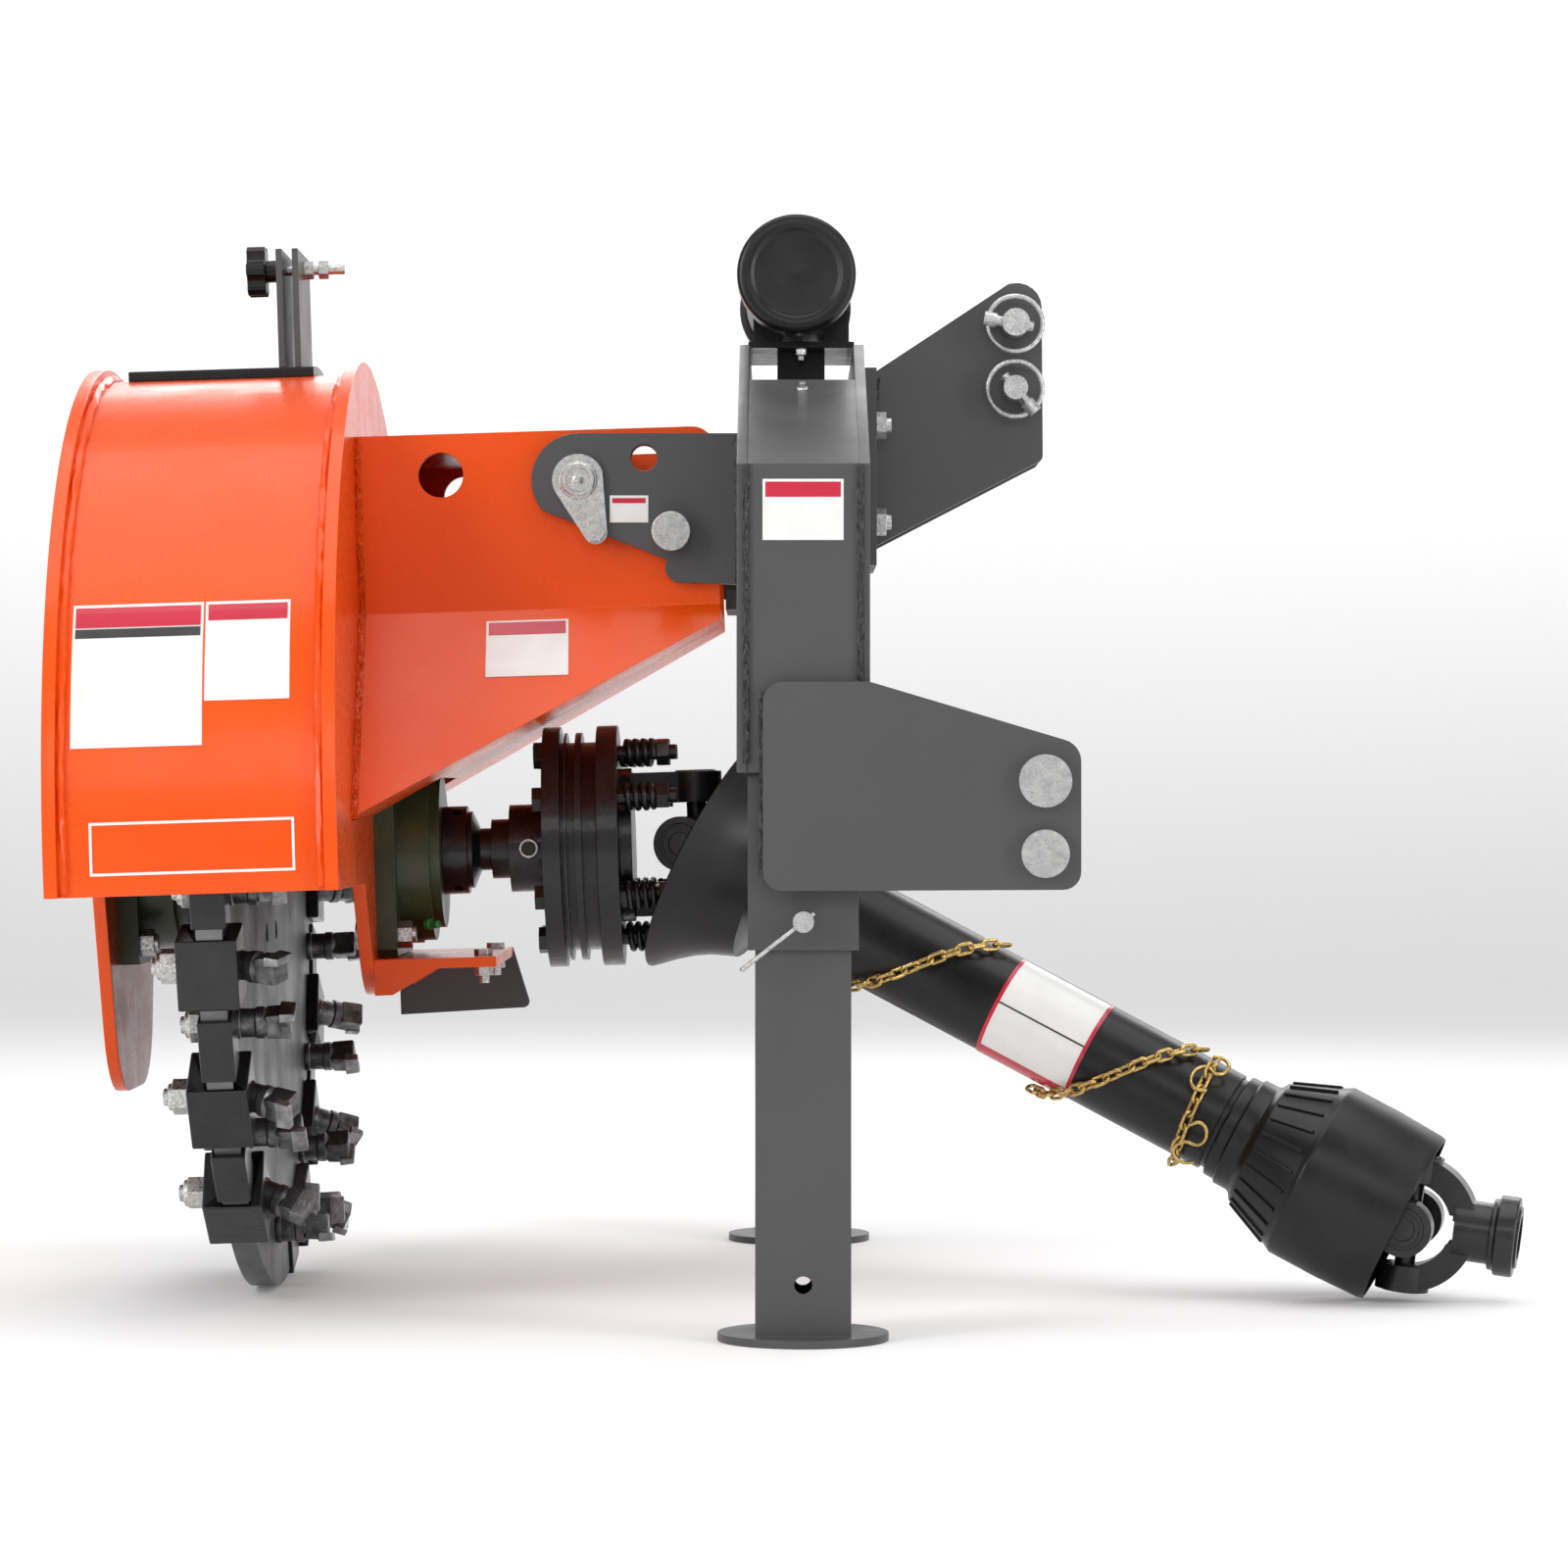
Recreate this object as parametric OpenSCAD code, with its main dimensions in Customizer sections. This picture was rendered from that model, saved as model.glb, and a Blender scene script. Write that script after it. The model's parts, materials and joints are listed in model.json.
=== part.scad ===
// Stump grinder for a tractor's three-point linkage.
// +X points to the tractor, +Y to the machine's far side, +Z up; the feet stand on Z = 0.

/* [Portal frame] */
// Distance between the two legs' centre lines
leg_track = 780; // [740:10:820]
// Outside width of a square leg tube
leg_w = 69.4; // [68:0.1:69.4]
// Outside width of the sleeve that a leg slides in
sleeve_w = 80; // [80:1:80]
// Thickness of the portal's front and rear plates
portal_t = 8; // [6:1:8]
// Height of the portal's top edge
portal_z = 745; // [735:5:755]
// Diameter of a foot plate
foot_d = 125; // [110:5:140]
// How far a leg can be raised in its sleeve
leg_lift = 263; // [240:1:263]

/* [Linkage] */
// Height of the upper hole for the lower link
upper_link_z = 407; // [404:1:410]
// Height of the lower hole for the lower link
lower_link_z = 355; // [352:1:358]
// Distance of the lower link holes from the legs' centre line
link_x = 173; // [168:1:176]
// Radius of the upper lower-link pin
upper_link_r = 14.2; // [14:0.1:14.5]
// Radius of the lower lower-link pin
lower_link_r = 11.1; // [11:0.1:11.5]
// Gap that takes the lower link's ball
link_gap = 52; // [48:1:56]
// Height of the upper top-link hole
top_link_z = 773; // [768:1:778]
// Drop from the upper to the lower top-link hole
top_link_step = 52; // [50:1:54]

/* [Cutting head] */
// Distance of the head's pivot from the legs' centre line
pivot_x = -173.5; // [-176:0.5:-170]
// Height of the head's pivot
pivot_z = 641; // [640.5:0.5:645]
// Droop of the head at rest
pitch = 1.8; // [1:0.1:2]
// Drop from the pivot to the cutter shaft
axle_drop = 286; // [284:1:286]
// Radius of the cutter disc
disc_r = 345.6; // [340:0.2:345.8]
// Thickness of the cutter disc
disc_t = 20; // [16:1:22]
// Radius of the hood's side plates
hood_r = 396; // [394:1:400]
// Distance from the pivot to the hood's outer face
hood_left = 389; // [385:1:392]
// Distance from the pivot to the hood's tractor-side face
hood_right = 174; // [172:1:176]
// Number of cutting stations round the disc
stations = 18; // [18:1:18]

/* [Driveshaft] */
// Distance between the two universal joints
shaft_l = 646; // [640:1:650]
// Swing of the shaft towards the near side at rest
yaw = 13; // [8:1:14]
// Fall of the shaft below the cutter shaft's line at rest
drop = 29; // [28:0.5:29]
// Rise of the end yoke against the shaft at rest
end_rise = 20; // [15:1:22]
// Outside radius of the plastic shield tube
shield_r = 41; // [40:0.5:42]
// How far the shaft can be drawn out
shaft_reach = 180; // [150:10:200]

/* [Hidden] */
$fn = 64;
eps = 0.01;
gap = 0.4;          // play between rigid pieces that move past each other
play = 0.05;        // radial play of a pin in its bore

paint = "#e8501a";
grey = "#4c4d4f";
black = "#1b1c1e";
zinc = "#a8a9a6";
green = "#33392a";
brass = "#c79a3a";

post_out = leg_track / 2 + 50;
post_in = leg_track / 2 - 46;
plate_x = sleeve_w / 2;
beam_low = 560;
bracket_bolt_z = [614, 691];
post_low = 413;
shoulder_z = 635;
web_top = 711;
web_t = 8;
sleeve_low = 285;
sleeve_t = 5;
pin_z = 306;
leg_top = 360;
foot_t = 6;

ear_out = 161;
ear_t = 12;
boom_y = ear_out - ear_t - gap;
boom_t = 8;
fold_w = -99;
axle_w = -axle_drop;
hood_t = 10;
shell_r = hood_r - 10;
shell_t = 6;
skirt = 22;
disc_u = -276;
cutter_shaft_r = 25;
shaft_nose_r = 14;
joint_u = 81;
trunnion_r = 8;

// ---- small helpers ----

module along_y(points, y0, y1)
    translate([0, y1, 0]) rotate([90, 0, 0]) linear_extrude(y1 - y0) polygon(points);

module along_x(points, x0, x1)
    translate([x0, 0, 0]) rotate([90, 0, 90]) linear_extrude(x1 - x0) polygon(points);

module rod_x(r, x0, x1) translate([x0, 0, 0]) rotate([0, 90, 0]) cylinder(r = r, h = x1 - x0);
module rod_y(r, y0, y1) translate([0, y0, 0]) rotate([-90, 0, 0]) cylinder(r = r, h = y1 - y0);
module rod_z(r, z0, z1) translate([0, 0, z0]) cylinder(r = r, h = z1 - z0);
module box(low, high) translate(low) cube(high - low);
module both_sides() { children(); mirror([0, 1, 0]) children(); }
module hex_x(across, x0, x1)
    translate([x0, 0, 0]) rotate([0, 90, 0]) cylinder(d = across / cos(30), h = x1 - x0, $fn = 6);
module hex_z(across, z0, z1)
    translate([0, 0, z0]) cylinder(d = across / cos(30), h = z1 - z0, $fn = 6);

function unit(v) = v / norm(v);
function flat(p) = [p.x, p.y];

// The arc of radius r that rounds the corner q between its neighbours p and s.
function corner(p, q, s, r, n = 6) =
    r <= 0 ? [q] :
    let (a = unit(p - q), b = unit(s - q), half = acos(a * b) / 2,
         c = q + unit(a + b) * r / sin(half),
         t0 = q + a * r / tan(half) - c, t1 = q + b * r / tan(half) - c,
         a0 = atan2(t0.y, t0.x), turn = atan2(t1.y, t1.x) - a0,
         sweep = turn > 180 ? turn - 360 : turn < -180 ? turn + 360 : turn)
    [for (i = [0:n]) c + r * [cos(a0 + sweep * i / n), sin(a0 + sweep * i / n)]];

// An outline from corners given as [x, y, corner radius].
function rounded(pts) =
    let (n = len(pts))
    [for (i = [0:n - 1])
        each corner(flat(pts[(i + n - 1) % n]), flat(pts[i]), flat(pts[(i + 1) % n]), pts[i].z)];

function mirrored(pts) = concat(pts, [for (i = [len(pts) - 1:-1:0]) [-pts[i].x, pts[i].y]]);

// ---- frames of the moving groups ----

module in_head() translate([pivot_x, 0, pivot_z]) rotate([0, -pitch, 0]) children();
module in_axle() in_head() translate([0, 0, axle_w]) children();
module in_first_cross() in_axle() translate([joint_u, 0, 0]) rotate([0, 0, -yaw]) children();
module in_shaft() in_first_cross() rotate([0, drop, 0]) children();
module in_second_cross() in_shaft() translate([shaft_l, 0, 0]) rotate([0, -end_rise, 0]) children();

// ---- portal frame ----

module portal_plate(x0)
    color(grey) along_x(mirrored([
        [post_in, post_low], [post_out, post_low], [post_out, shoulder_z], [173, portal_z]])
        , x0, x0 + portal_t);

module portal_window(x0)
    along_x(mirrored([
        [post_in, post_low - 1], [post_in, beam_low - 40], [post_in - 40, beam_low],
        [0, beam_low]]), x0 - 1, x0 + portal_t + 1);

module portal_side(x0)
    color(grey) difference() {
        portal_plate(x0);
        portal_window(x0);
    }

module rear_portal_plate() portal_side(-plate_x - portal_t);

module front_portal_plate()
    color(grey) difference() {
        portal_side(plate_x);
        for (y = [-60, 60], z = bracket_bolt_z)
            translate([0, y, z]) rod_x(6.5, plate_x - 1, plate_x + portal_t + 1);
    }

module outer_web()
    color(grey) difference() {
        along_x(mirrored([[post_out, post_low], [post_out, shoulder_z], [255, web_top]])
            , -plate_x, plate_x);
        along_x(mirrored([
            [post_out - web_t, post_low - 1], [post_out - web_t, shoulder_z - 5.4],
            [253.4, web_top - web_t]]), -plate_x - 1, plate_x + 1);
        for (y = [-60, 60])
            translate([0, y, 0]) rod_z(4 + play, web_top - web_t - 1, web_top + 1);
    }

module inner_web()
    color(grey) difference() {
        along_x(mirrored([
            [post_in, post_low], [post_in, beam_low - 40], [post_in - 40, beam_low]
            , [post_in - 40, beam_low + web_t], [post_in + 3.3, beam_low - 36.7]
            , [post_in + web_t - 4, post_low]]), -plate_x, plate_x);
        along_x(mirrored([
            [post_in, post_low - 1], [post_in, beam_low - 40], [post_in - 40, beam_low]])
            , -plate_x - 1, plate_x + 1);
    }

module leg_sleeves()
    color(grey) both_sides() translate([0, -leg_track / 2, 0]) difference() {
        box([-sleeve_w / 2, -sleeve_w / 2, sleeve_low], [sleeve_w / 2, sleeve_w / 2, 625]);
        box([-sleeve_w / 2 + sleeve_t, -sleeve_w / 2 + sleeve_t, sleeve_low - 1]
            , [sleeve_w / 2 - sleeve_t, sleeve_w / 2 - sleeve_t, 626]);
        translate([0, 0, pin_z]) rod_y(6 + play, -sleeve_w / 2 - 1, 0);
    }

// ---- linkage ----

lower_plate_outline = rounded([
    [-29, 328, 14], [-29, 478, 14], [48, 478, 20], [199, 433, 16], [199, 329, 13]]);
inner_plate_outline = rounded([
    [plate_x + portal_t, 413, 0], [plate_x + portal_t, 478, 0], [199, 433, 16], [199, 329, 13]
    , [plate_x + portal_t + 40, 329, 10]]);
lower_plate_t = 12;
inner_plate_t = 10;

module link_holes(y0, y1) {
    translate([link_x, 0, upper_link_z]) rod_y(upper_link_r + play, y0, y1);
    translate([link_x, 0, lower_link_z]) rod_y(lower_link_r + play, y0, y1);
}

module lower_link_plates()
    color(grey) both_sides() difference() {
        union() {
            along_y(lower_plate_outline, -post_out - lower_plate_t, -post_out);
            along_y(inner_plate_outline, -post_out + link_gap
                , -post_out + link_gap + inner_plate_t);
        }
        link_holes(-post_out - lower_plate_t - 1, -post_out + link_gap + inner_plate_t + 1);
    }

module lower_link_pin(r, head_r, peg_turn)
    difference() {
        union() {
            rod_y(head_r, -post_out - lower_plate_t - 9, -post_out - lower_plate_t);
            rod_y(r, -post_out - lower_plate_t - eps, -post_out + link_gap + inner_plate_t + 26);
        }
        translate([0, -post_out + link_gap + inner_plate_t + 12, 0]) rotate([0, peg_turn, 0])
            rod_z(4.5 + play, -r - 1, r + 1);
    }

module lower_link_pins()
    color(zinc) both_sides() {
        translate([link_x, 0, upper_link_z]) lower_link_pin(upper_link_r, 19, 0);
        translate([link_x, 0, lower_link_z]) lower_link_pin(lower_link_r, 17.25, 150);
    }

ring_r = 22;

// A lynch pin: a peg through the cross hole, and the spring ring that snaps round the shaft.
module lynch_pin(peg_l) {
    rod_z(4.5, -peg_l / 2, ring_r);
    rod_z(6, peg_l / 2, ring_r + 3);
    rotate([90, 0, 0]) rotate_extrude() translate([ring_r, 0]) circle(r = 2, $fn = 16);
}

top_plate_y = 38;
top_plate_t = 10;

module top_link_bracket()
    color(grey) difference() {
        union() {
            box([plate_x + portal_t, -75, 579], [plate_x + portal_t + 12, 75, 736]);
            both_sides() along_y(rounded([
                [plate_x + portal_t + 12, 596, 0], [plate_x + portal_t + 12, 736, 0]
                , [166, 806, 0], [193, 812, 20], [194, 665, 6], [184, 660, 10]])
                , -top_plate_y, -top_plate_y + top_plate_t);
        }
        for (y = [-60, 60], z = bracket_bolt_z)
            translate([0, y, z]) rod_x(6.5, plate_x, plate_x + 40);
        translate([171, 0, top_link_z]) rod_y(11 + play, -top_plate_y - 1, top_plate_y + 1);
        translate([171, 0, top_link_z - top_link_step])
            rod_y(9.6 + play, -top_plate_y - 1, top_plate_y + 1);
    }

module top_link_pin(r, peg_turn)
    difference() {
        union() {
            rod_y(r, -top_plate_y - 30, top_plate_y + 8);
            rod_y(r + 6, top_plate_y + gap, top_plate_y + 8);
        }
        translate([0, -top_plate_y - 14, 0]) rotate([0, peg_turn, 0])
            rod_z(4.5 + play, -r - 1, r + 1);
    }

module top_link_pins()
    color(zinc) {
        translate([171, 0, top_link_z]) top_link_pin(11, -80);
        translate([171, 0, top_link_z - top_link_step]) top_link_pin(9.6, 140);
    }

module lynch_pins()
    color(zinc) {
        both_sides() translate([link_x, -post_out + link_gap + inner_plate_t + 12, 0]) {
            translate([0, 0, upper_link_z]) lynch_pin(34);
            translate([0, 0, lower_link_z]) rotate([0, 150, 0]) lynch_pin(30);
        }
        translate([171, -top_plate_y - 14, top_link_z]) rotate([0, -80, 0]) lynch_pin(30);
        translate([171, -top_plate_y - 14, top_link_z - top_link_step])
            rotate([0, 140, 0]) lynch_pin(28);
    }

module frame_bolts()
    color(zinc) {
        for (y = [-60, 60], z = bracket_bolt_z) translate([0, y, z]) {
            rod_x(6, plate_x - 12, plate_x + portal_t + 12);
            hex_x(19, plate_x + portal_t + 12, plate_x + portal_t + 20);
            rod_x(6, plate_x + portal_t + 12, plate_x + portal_t + 24);
            hex_x(19, plate_x - 10, plate_x);
        }
        for (y = [-60, 60]) translate([0, y, 0]) {
            rod_z(4, web_top - web_t - 8, web_top + 14);
            hex_z(13, web_top + 4, web_top + 10);
            hex_z(13, web_top - web_t - 6, web_top - web_t);
        }
    }

// ---- head pivot ----

lock_hole = [72.5, -40.4];
spare_hole = [51, 17.4];
tilt_pin_in = 13;
head_lift = 20;

module pivot_ears()
    color(grey) both_sides() difference() {
        translate([pivot_x, 0, pivot_z]) along_y(concat(
            [for (a = [90:10:220]) 36.5 * [cos(a), sin(a)]],
            rounded([[59, -79, 12], [-pivot_x - plate_x - portal_t, -81, 0]
                , [-pivot_x - plate_x - portal_t, 36.5, 0]])), -ear_out, -ear_out + ear_t);
        translate([pivot_x, 0, pivot_z]) {
            rod_y(15 + play, -ear_out - 1, -ear_out + ear_t + 1);
            translate([lock_hole.x, 0, lock_hole.y])
                rod_y(12 + play, -ear_out - 1, -ear_out + ear_t + 1);
            translate([spare_hole.x, 0, spare_hole.y])
                rod_y(10.3, -ear_out - 1, -ear_out + ear_t + 1);
            translate([13.7, 0, -41]) rod_y(4.05, -ear_out - 1, -ear_out + ear_t + 1);
        }
    }

module pivot_pin()
    color(zinc) translate([pivot_x, 0, pivot_z]) difference() {
        rod_y(15, -ear_out - 6, ear_out + 6);
        rod_y(3, -ear_out - 7, -ear_out + 10);
    }

// The tear-drop plate that keeps the pivot pin from turning, and its bolt.
module pivot_keeper()
    color(zinc) translate([pivot_x, 0, pivot_z]) both_sides() {
        difference() {
            along_y(concat([for (a = [20:10:210]) 20 * [cos(a), sin(a)]],
                [for (a = [215:10:370]) [13.7, -41] + 9 * [cos(a), sin(a)]])
                , -ear_out - 5, -ear_out);
            rod_y(15 + play, -ear_out - 6, -ear_out + 1);
            translate([13.7, 0, -41]) rod_y(4 + play, -ear_out - 6, -ear_out + 1);
        }
        translate([13.7, 0, -41]) rod_y(4, -ear_out - 9, -ear_out + 10);
        translate([13.7, 0, -41]) rotate([90, 0, 0]) hex_z(13, ear_out + 5, ear_out + 10);
    }

module bump_stop()
    color(black) difference() {
        box([-plate_x - portal_t - 12, -70, 544], [-plate_x - portal_t, 70, 559]);
        for (y = [-45, 45])
            translate([0, y, 551]) rod_x(5, -plate_x - portal_t - 13, -plate_x - portal_t - 6);
    }

// Locks the head's tilt; drawn back in its ear, so that its tip is just clear of the boom.
module near_tilt_pin()
    color(zinc) translate([pivot_x + lock_hole.x, 0, pivot_z + lock_hole.y]) {
        rod_y(12, -ear_out - tilt_pin_in, -ear_out + ear_t - 0.3);
        rod_y(15.2, -ear_out - tilt_pin_in - 6, -ear_out - tilt_pin_in);
    }
module far_tilt_pin() mirror([0, 1, 0]) near_tilt_pin();

// ---- manual holder on top of the portal ----

tube_x = -4;
tube_z = 803;
tube_r = 40.8;

module manual_bracket()
    color(black) {
        difference() {
            box([-20, -90, web_top], [20, 90, web_top + 4]);
            for (y = [-60, 60]) translate([0, y, 0]) rod_z(4 + play, web_top - 1, web_top + 5);
        }
        box([-19, -40, web_top + 4], [-15, 40, 751]);
        box([15, -40, web_top + 4], [19, 40, 751]);
        both_sides() box([-15 - eps, -40, web_top + 4], [15 + eps, -36, 751]);
        difference() {
            union() {
                box([-42, -80, 751], [42, 80, 756]);
                both_sides() for (s = [-1, 1]) translate([s * 28, -60, 756])
                    box([-10, -12, -eps], [10, 12, 26]);
            }
            translate([tube_x, 0, tube_z]) rod_y(tube_r + play, -100, 100);
        }
    }

module manual_tube()
    color(black) translate([tube_x, 0, tube_z]) difference() {
        union() {
            rod_y(tube_r, -136, 148);
            rod_y(46.5, 132, 150);
        }
        rod_y(tube_r - 3, -137, 140);
    }

module manual_lid()
    color(black) translate([tube_x, 0, tube_z]) difference() {
        rod_y(46.5, -150, -116);
        rod_y(tube_r + gap, -146, -115);
    }

// ---- legs ----

module leg()
    color(grey) difference() {
        union() {
            rod_z(foot_d / 2, 0, foot_t);
            box([-leg_w / 2, -leg_w / 2, foot_t - eps], [leg_w / 2, leg_w / 2, leg_top]);
        }
        box([-leg_w / 2 + 5, -leg_w / 2 + 5, foot_t], [leg_w / 2 - 5, leg_w / 2 - 5, leg_top + 1]);
        for (z = [pin_z - leg_lift, pin_z])
            translate([0, 0, z]) rod_y(6.5, -leg_w, leg_w);
    }

module near_leg() translate([0, -leg_track / 2, 0]) leg();
module far_leg() mirror([0, 1, 0]) near_leg();

pin_in = 14;
clip_turn = 142;
clip_l = 54;

// The lock pin, drawn back so that its tip is just clear of the leg.
module lock_pin()
    difference() {
        union() {
            rod_y(6, -sleeve_w / 2 - pin_in - 8, -sleeve_w / 2 + sleeve_t - 0.2);
            rod_y(7.6, -sleeve_w / 2 - pin_in - 12, -sleeve_w / 2 - pin_in - 6);
        }
        translate([0, -sleeve_w / 2 - pin_in, 0]) rotate([0, clip_turn, 0]) rod_x(1.7, -8, 8);
    }

// The wire clip through the lock pin: two legs joined by a round eye.
module hair_clip()
    translate([0, -sleeve_w / 2 - pin_in, 0]) rotate([0, clip_turn, 0]) {
        rod_x(1.6, -10, clip_l);
        translate([0, -3.6, 0]) rod_x(1.6, 10, clip_l);
        translate([clip_l, -1.8, 0]) rotate_extrude() translate([1.8, 0]) circle(r = 1.6, $fn = 16);
    }

module near_leg_pin()
    color(zinc) translate([0, -leg_track / 2, pin_z]) {
        lock_pin();
        hair_clip();
    }
module far_leg_pin() mirror([0, 1, 0]) near_leg_pin();

// ---- cutting head ----

module tongue(depth, half) polygon(rounded([
    [-half - 30, -skirt + 1, 0], [-half, -skirt, 0], [-half * 0.62, -depth, half * 0.5]
    , [half * 0.62, -depth, half * 0.5], [half, -skirt, 0], [half + 30, -skirt + 1, 0]]));

module hood_plate(u0, depth, half, bore)
    color(paint) in_axle() difference() {
        translate([u0, 0, 0]) rotate([90, 0, 90]) linear_extrude(hood_t) {
            difference() {
                circle(r = hood_r, $fn = 128);
                translate([-hood_r - 1, -hood_r - 1]) square([2 * hood_r + 2, hood_r + 1 - skirt]);
            }
            tongue(depth, half);
        }
        rod_x(bore, u0 - 1, u0 + hood_t + 1);
        for (y = [-65, 65], w = [-65, 65]) translate([0, y, w])
            rod_x(7, u0 - 1, u0 + hood_t + 1);
    }

module hood_outer_plate() hood_plate(-hood_left, 184, 150, 40);
module hood_inner_plate() hood_plate(-hood_right - hood_t, 112, 175, 40);

module hood_shell()
    color(paint) in_axle() difference() {
        rod_x(shell_r, -hood_left + hood_t, -hood_right - hood_t, $fn = 128);
        rod_x(shell_r - shell_t, -hood_left, -hood_right, $fn = 128);
        box([-hood_left - 1, -hood_r, -hood_r - 1], [-hood_right + 1, hood_r, -skirt]);
    }

// The boom's side outline; its side plates stand upright down to the fold and flare below it.
boom_end = 107;
boom_top = 40;
boom_low_end = -111;
boom_low_hood = -256;
flare = 127 / 157;
boom_outline = rounded([
    [-hood_right, boom_low_hood, 0], [-hood_right, boom_top, 0], [boom_end, boom_top, 18]
    , [boom_end, boom_low_end, 0]]);

function boom_section(d) = let (k = sqrt(1 + flare * flare)) [
    [boom_y - d, boom_top], [boom_y - d, fold_w + d * 0.37], [boom_y + flare * 170 - d * k
    , fold_w - 170]];

module boom_envelope(y0, y1) along_y(boom_outline, y0, y1);

// A hole of the ears as the boom sees it when the head is lifted by a tilt.
function in_boom(p, tilt) =
    [p.x * cos(pitch + tilt) + p.y * sin(pitch + tilt)
    , p.y * cos(pitch + tilt) - p.x * sin(pitch + tilt)];
function in_lifted_boom(p) = in_boom(p, -head_lift);

module boom_hole(p, r) translate([p.x, 0, p.y]) rod_y(r, -400, 400);

module boom_holes() {
    boom_hole([0, 0], 21);
    boom_hole(in_boom(lock_hole, 0), 12.3);
    boom_hole(in_lifted_boom(lock_hole), 12.3);
    boom_hole(in_boom(spare_hole, 0), 10.3);
    boom_hole([-107.5, 8], 17.5);
}

module boom_far_plate()
    color(paint) in_head() difference() {
        intersection() {
            boom_envelope(0, 320);
            along_x(concat(boom_section(0), [for (i = [2:-1:0]) boom_section(boom_t)[i]])
                , -hood_right, boom_end + 1);
        }
        boom_holes();
    }
module boom_near_plate() mirror([0, 1, 0]) boom_far_plate();

module boom_inside() along_x(mirrored(boom_section(boom_t)), -hood_right, boom_end + 1);

module boom_top_plate()
    color(paint) in_head() intersection() {
        boom_inside();
        box([-hood_right, -boom_y, boom_top - boom_t], [30, boom_y, boom_top]);
    }

// Notched where it meets the hood, to clear the bearing.
module boom_bottom_plate()
    color(paint) in_head() difference() {
        intersection() {
            boom_inside();
            along_y([[-hood_right, boom_low_hood], [boom_end, boom_low_end]
                , [boom_end, boom_low_end + 9], [-hood_right, boom_low_hood + 9]], -300, 300);
        }
        box([-hood_right - 1, -92, boom_low_hood - 1], [-119, 92, boom_low_hood + 60]);
    }

module boom_bushes()
    color(paint) in_head() difference() {
        rod_y(21, -boom_y + 0.1, boom_y - 0.1);
        rod_y(15 + play, -boom_y, boom_y);
    }

strip_u = [-361, -213];
strip_half = 52;
strip_t = 8;
bar_u = [-241, -228];
bar_top = 200;
bolt_w = 187;

// A strip rolled to the hood's curve, which carries the two upright bars.
module hood_strip()
    color(black) in_axle() difference() {
        rod_x(shell_r + play + strip_t, strip_u[0], strip_u[1], $fn = 128);
        rod_x(shell_r + play, strip_u[0] - 1, strip_u[1] + 1, $fn = 128);
        box([strip_u[0] - 1, -hood_r, -hood_r], [strip_u[1] + 1, hood_r, 200]);
        both_sides() box([strip_u[0] - 1, strip_half, 0], [strip_u[1] + 1, hood_r, hood_r]);
    }

module curtain_bars()
    color(grey) in_head() for (u = bar_u) difference() {
        box([u, -48, 90], [u + 5, 48, bar_top]);
        translate([0, 0, axle_w]) rod_x(shell_r + play + strip_t, u - 1, u + 6, $fn = 128);
        translate([0, 0, bolt_w]) rod_x(4 + play, u - 1, u + 6);
    }

module curtain_bolt()
    color(zinc) in_head() translate([0, 0, bolt_w]) {
        rod_x(4, bar_u[0] - 20, bar_u[1] + 38);
        hex_x(13, bar_u[1] + 5, bar_u[1] + 13);
        hex_x(13, bar_u[1] + 17, bar_u[1] + 25);
    }

module curtain_knob()
    color(black) in_head() translate([0, 0, bolt_w]) difference() {
        union() {
            rod_x(9, bar_u[0] - 12, bar_u[0] - 0.3);
            difference() {
                rod_x(21, bar_u[0] - 27, bar_u[0] - 12);
                for (a = [0:60:300]) rotate([a + 30, 0, 0]) translate([0, 23, 0])
                    rod_x(7, bar_u[0] - 28, bar_u[0] - 11);
            }
        }
        rod_x(4 + play, bar_u[0] - 21, bar_u[0]);
    }

flap_w = -91;
flap_bolt_u = -90;

module flap_bracket()
    color(paint) in_axle() difference() {
        union() {
            box([-hood_right, -118, flap_w], [-78, 118, flap_w + 8]);
            both_sides() along_y([[-hood_right, flap_w], [-hood_right, flap_w - 20]
                , [-160, flap_w - 20], [-125, flap_w]], -118, -110);
        }
        for (y = [-80, 80]) translate([flap_bolt_u, y, 0]) rod_z(4 + play, flap_w - 1, flap_w + 9);
    }

module debris_flap()
    color(grey) in_axle() along_y(rounded([
        [-hood_right + 1, flap_w - 4, 0], [-78, flap_w + 8, 2], [-64, flap_w - 43, 5]
        , [-hood_right + 1, flap_w - 46, 0]]), 118.4, 123);

bearing_t = 50;

module flange_bearing()
    difference() {
        union() {
            intersection() {
                rod_x(112, 0, 16);
                box([-1, -82, -82], [17, 82, 82]);
            }
            rod_x(72, 16 - eps, bearing_t - 8);
            rod_x(62, bearing_t - 8 - eps, bearing_t);
        }
        rod_x(cutter_shaft_r + play, -1, bearing_t + 1);
        for (y = [-65, 65], w = [-65, 65]) translate([0, y, w]) rod_x(7, -1, 17);
    }

module axle_bearings()
    color(green) in_axle() {
        translate([-hood_right, 0, 0]) flange_bearing();
        translate([-hood_left + hood_t, 0, 0]) flange_bearing();
    }

module plate_bolt(head_u, nut_u) {
    rod_x(6.5, head_u, nut_u + 14);
    hex_x(19, head_u - 8, head_u);
    hex_x(19, nut_u, nut_u + 11);
}

module head_bolts()
    color(zinc) in_axle() {
        for (y = [-65, 65], w = [-65, 65]) translate([0, y, w]) {
            plate_bolt(-hood_right - hood_t, -hood_right + 16);
            plate_bolt(-hood_left, -hood_left + hood_t + 16);
        }
        for (y = [-80, 80]) translate([flap_bolt_u, y, 0]) {
            rod_z(4, flap_w - 14, flap_w + 8);
            hex_z(13, flap_w + 8, flap_w + 13);
            hex_z(13, flap_w - 8, flap_w);
        }
    }

// ---- friction clutch, held by its yoke ----

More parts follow.
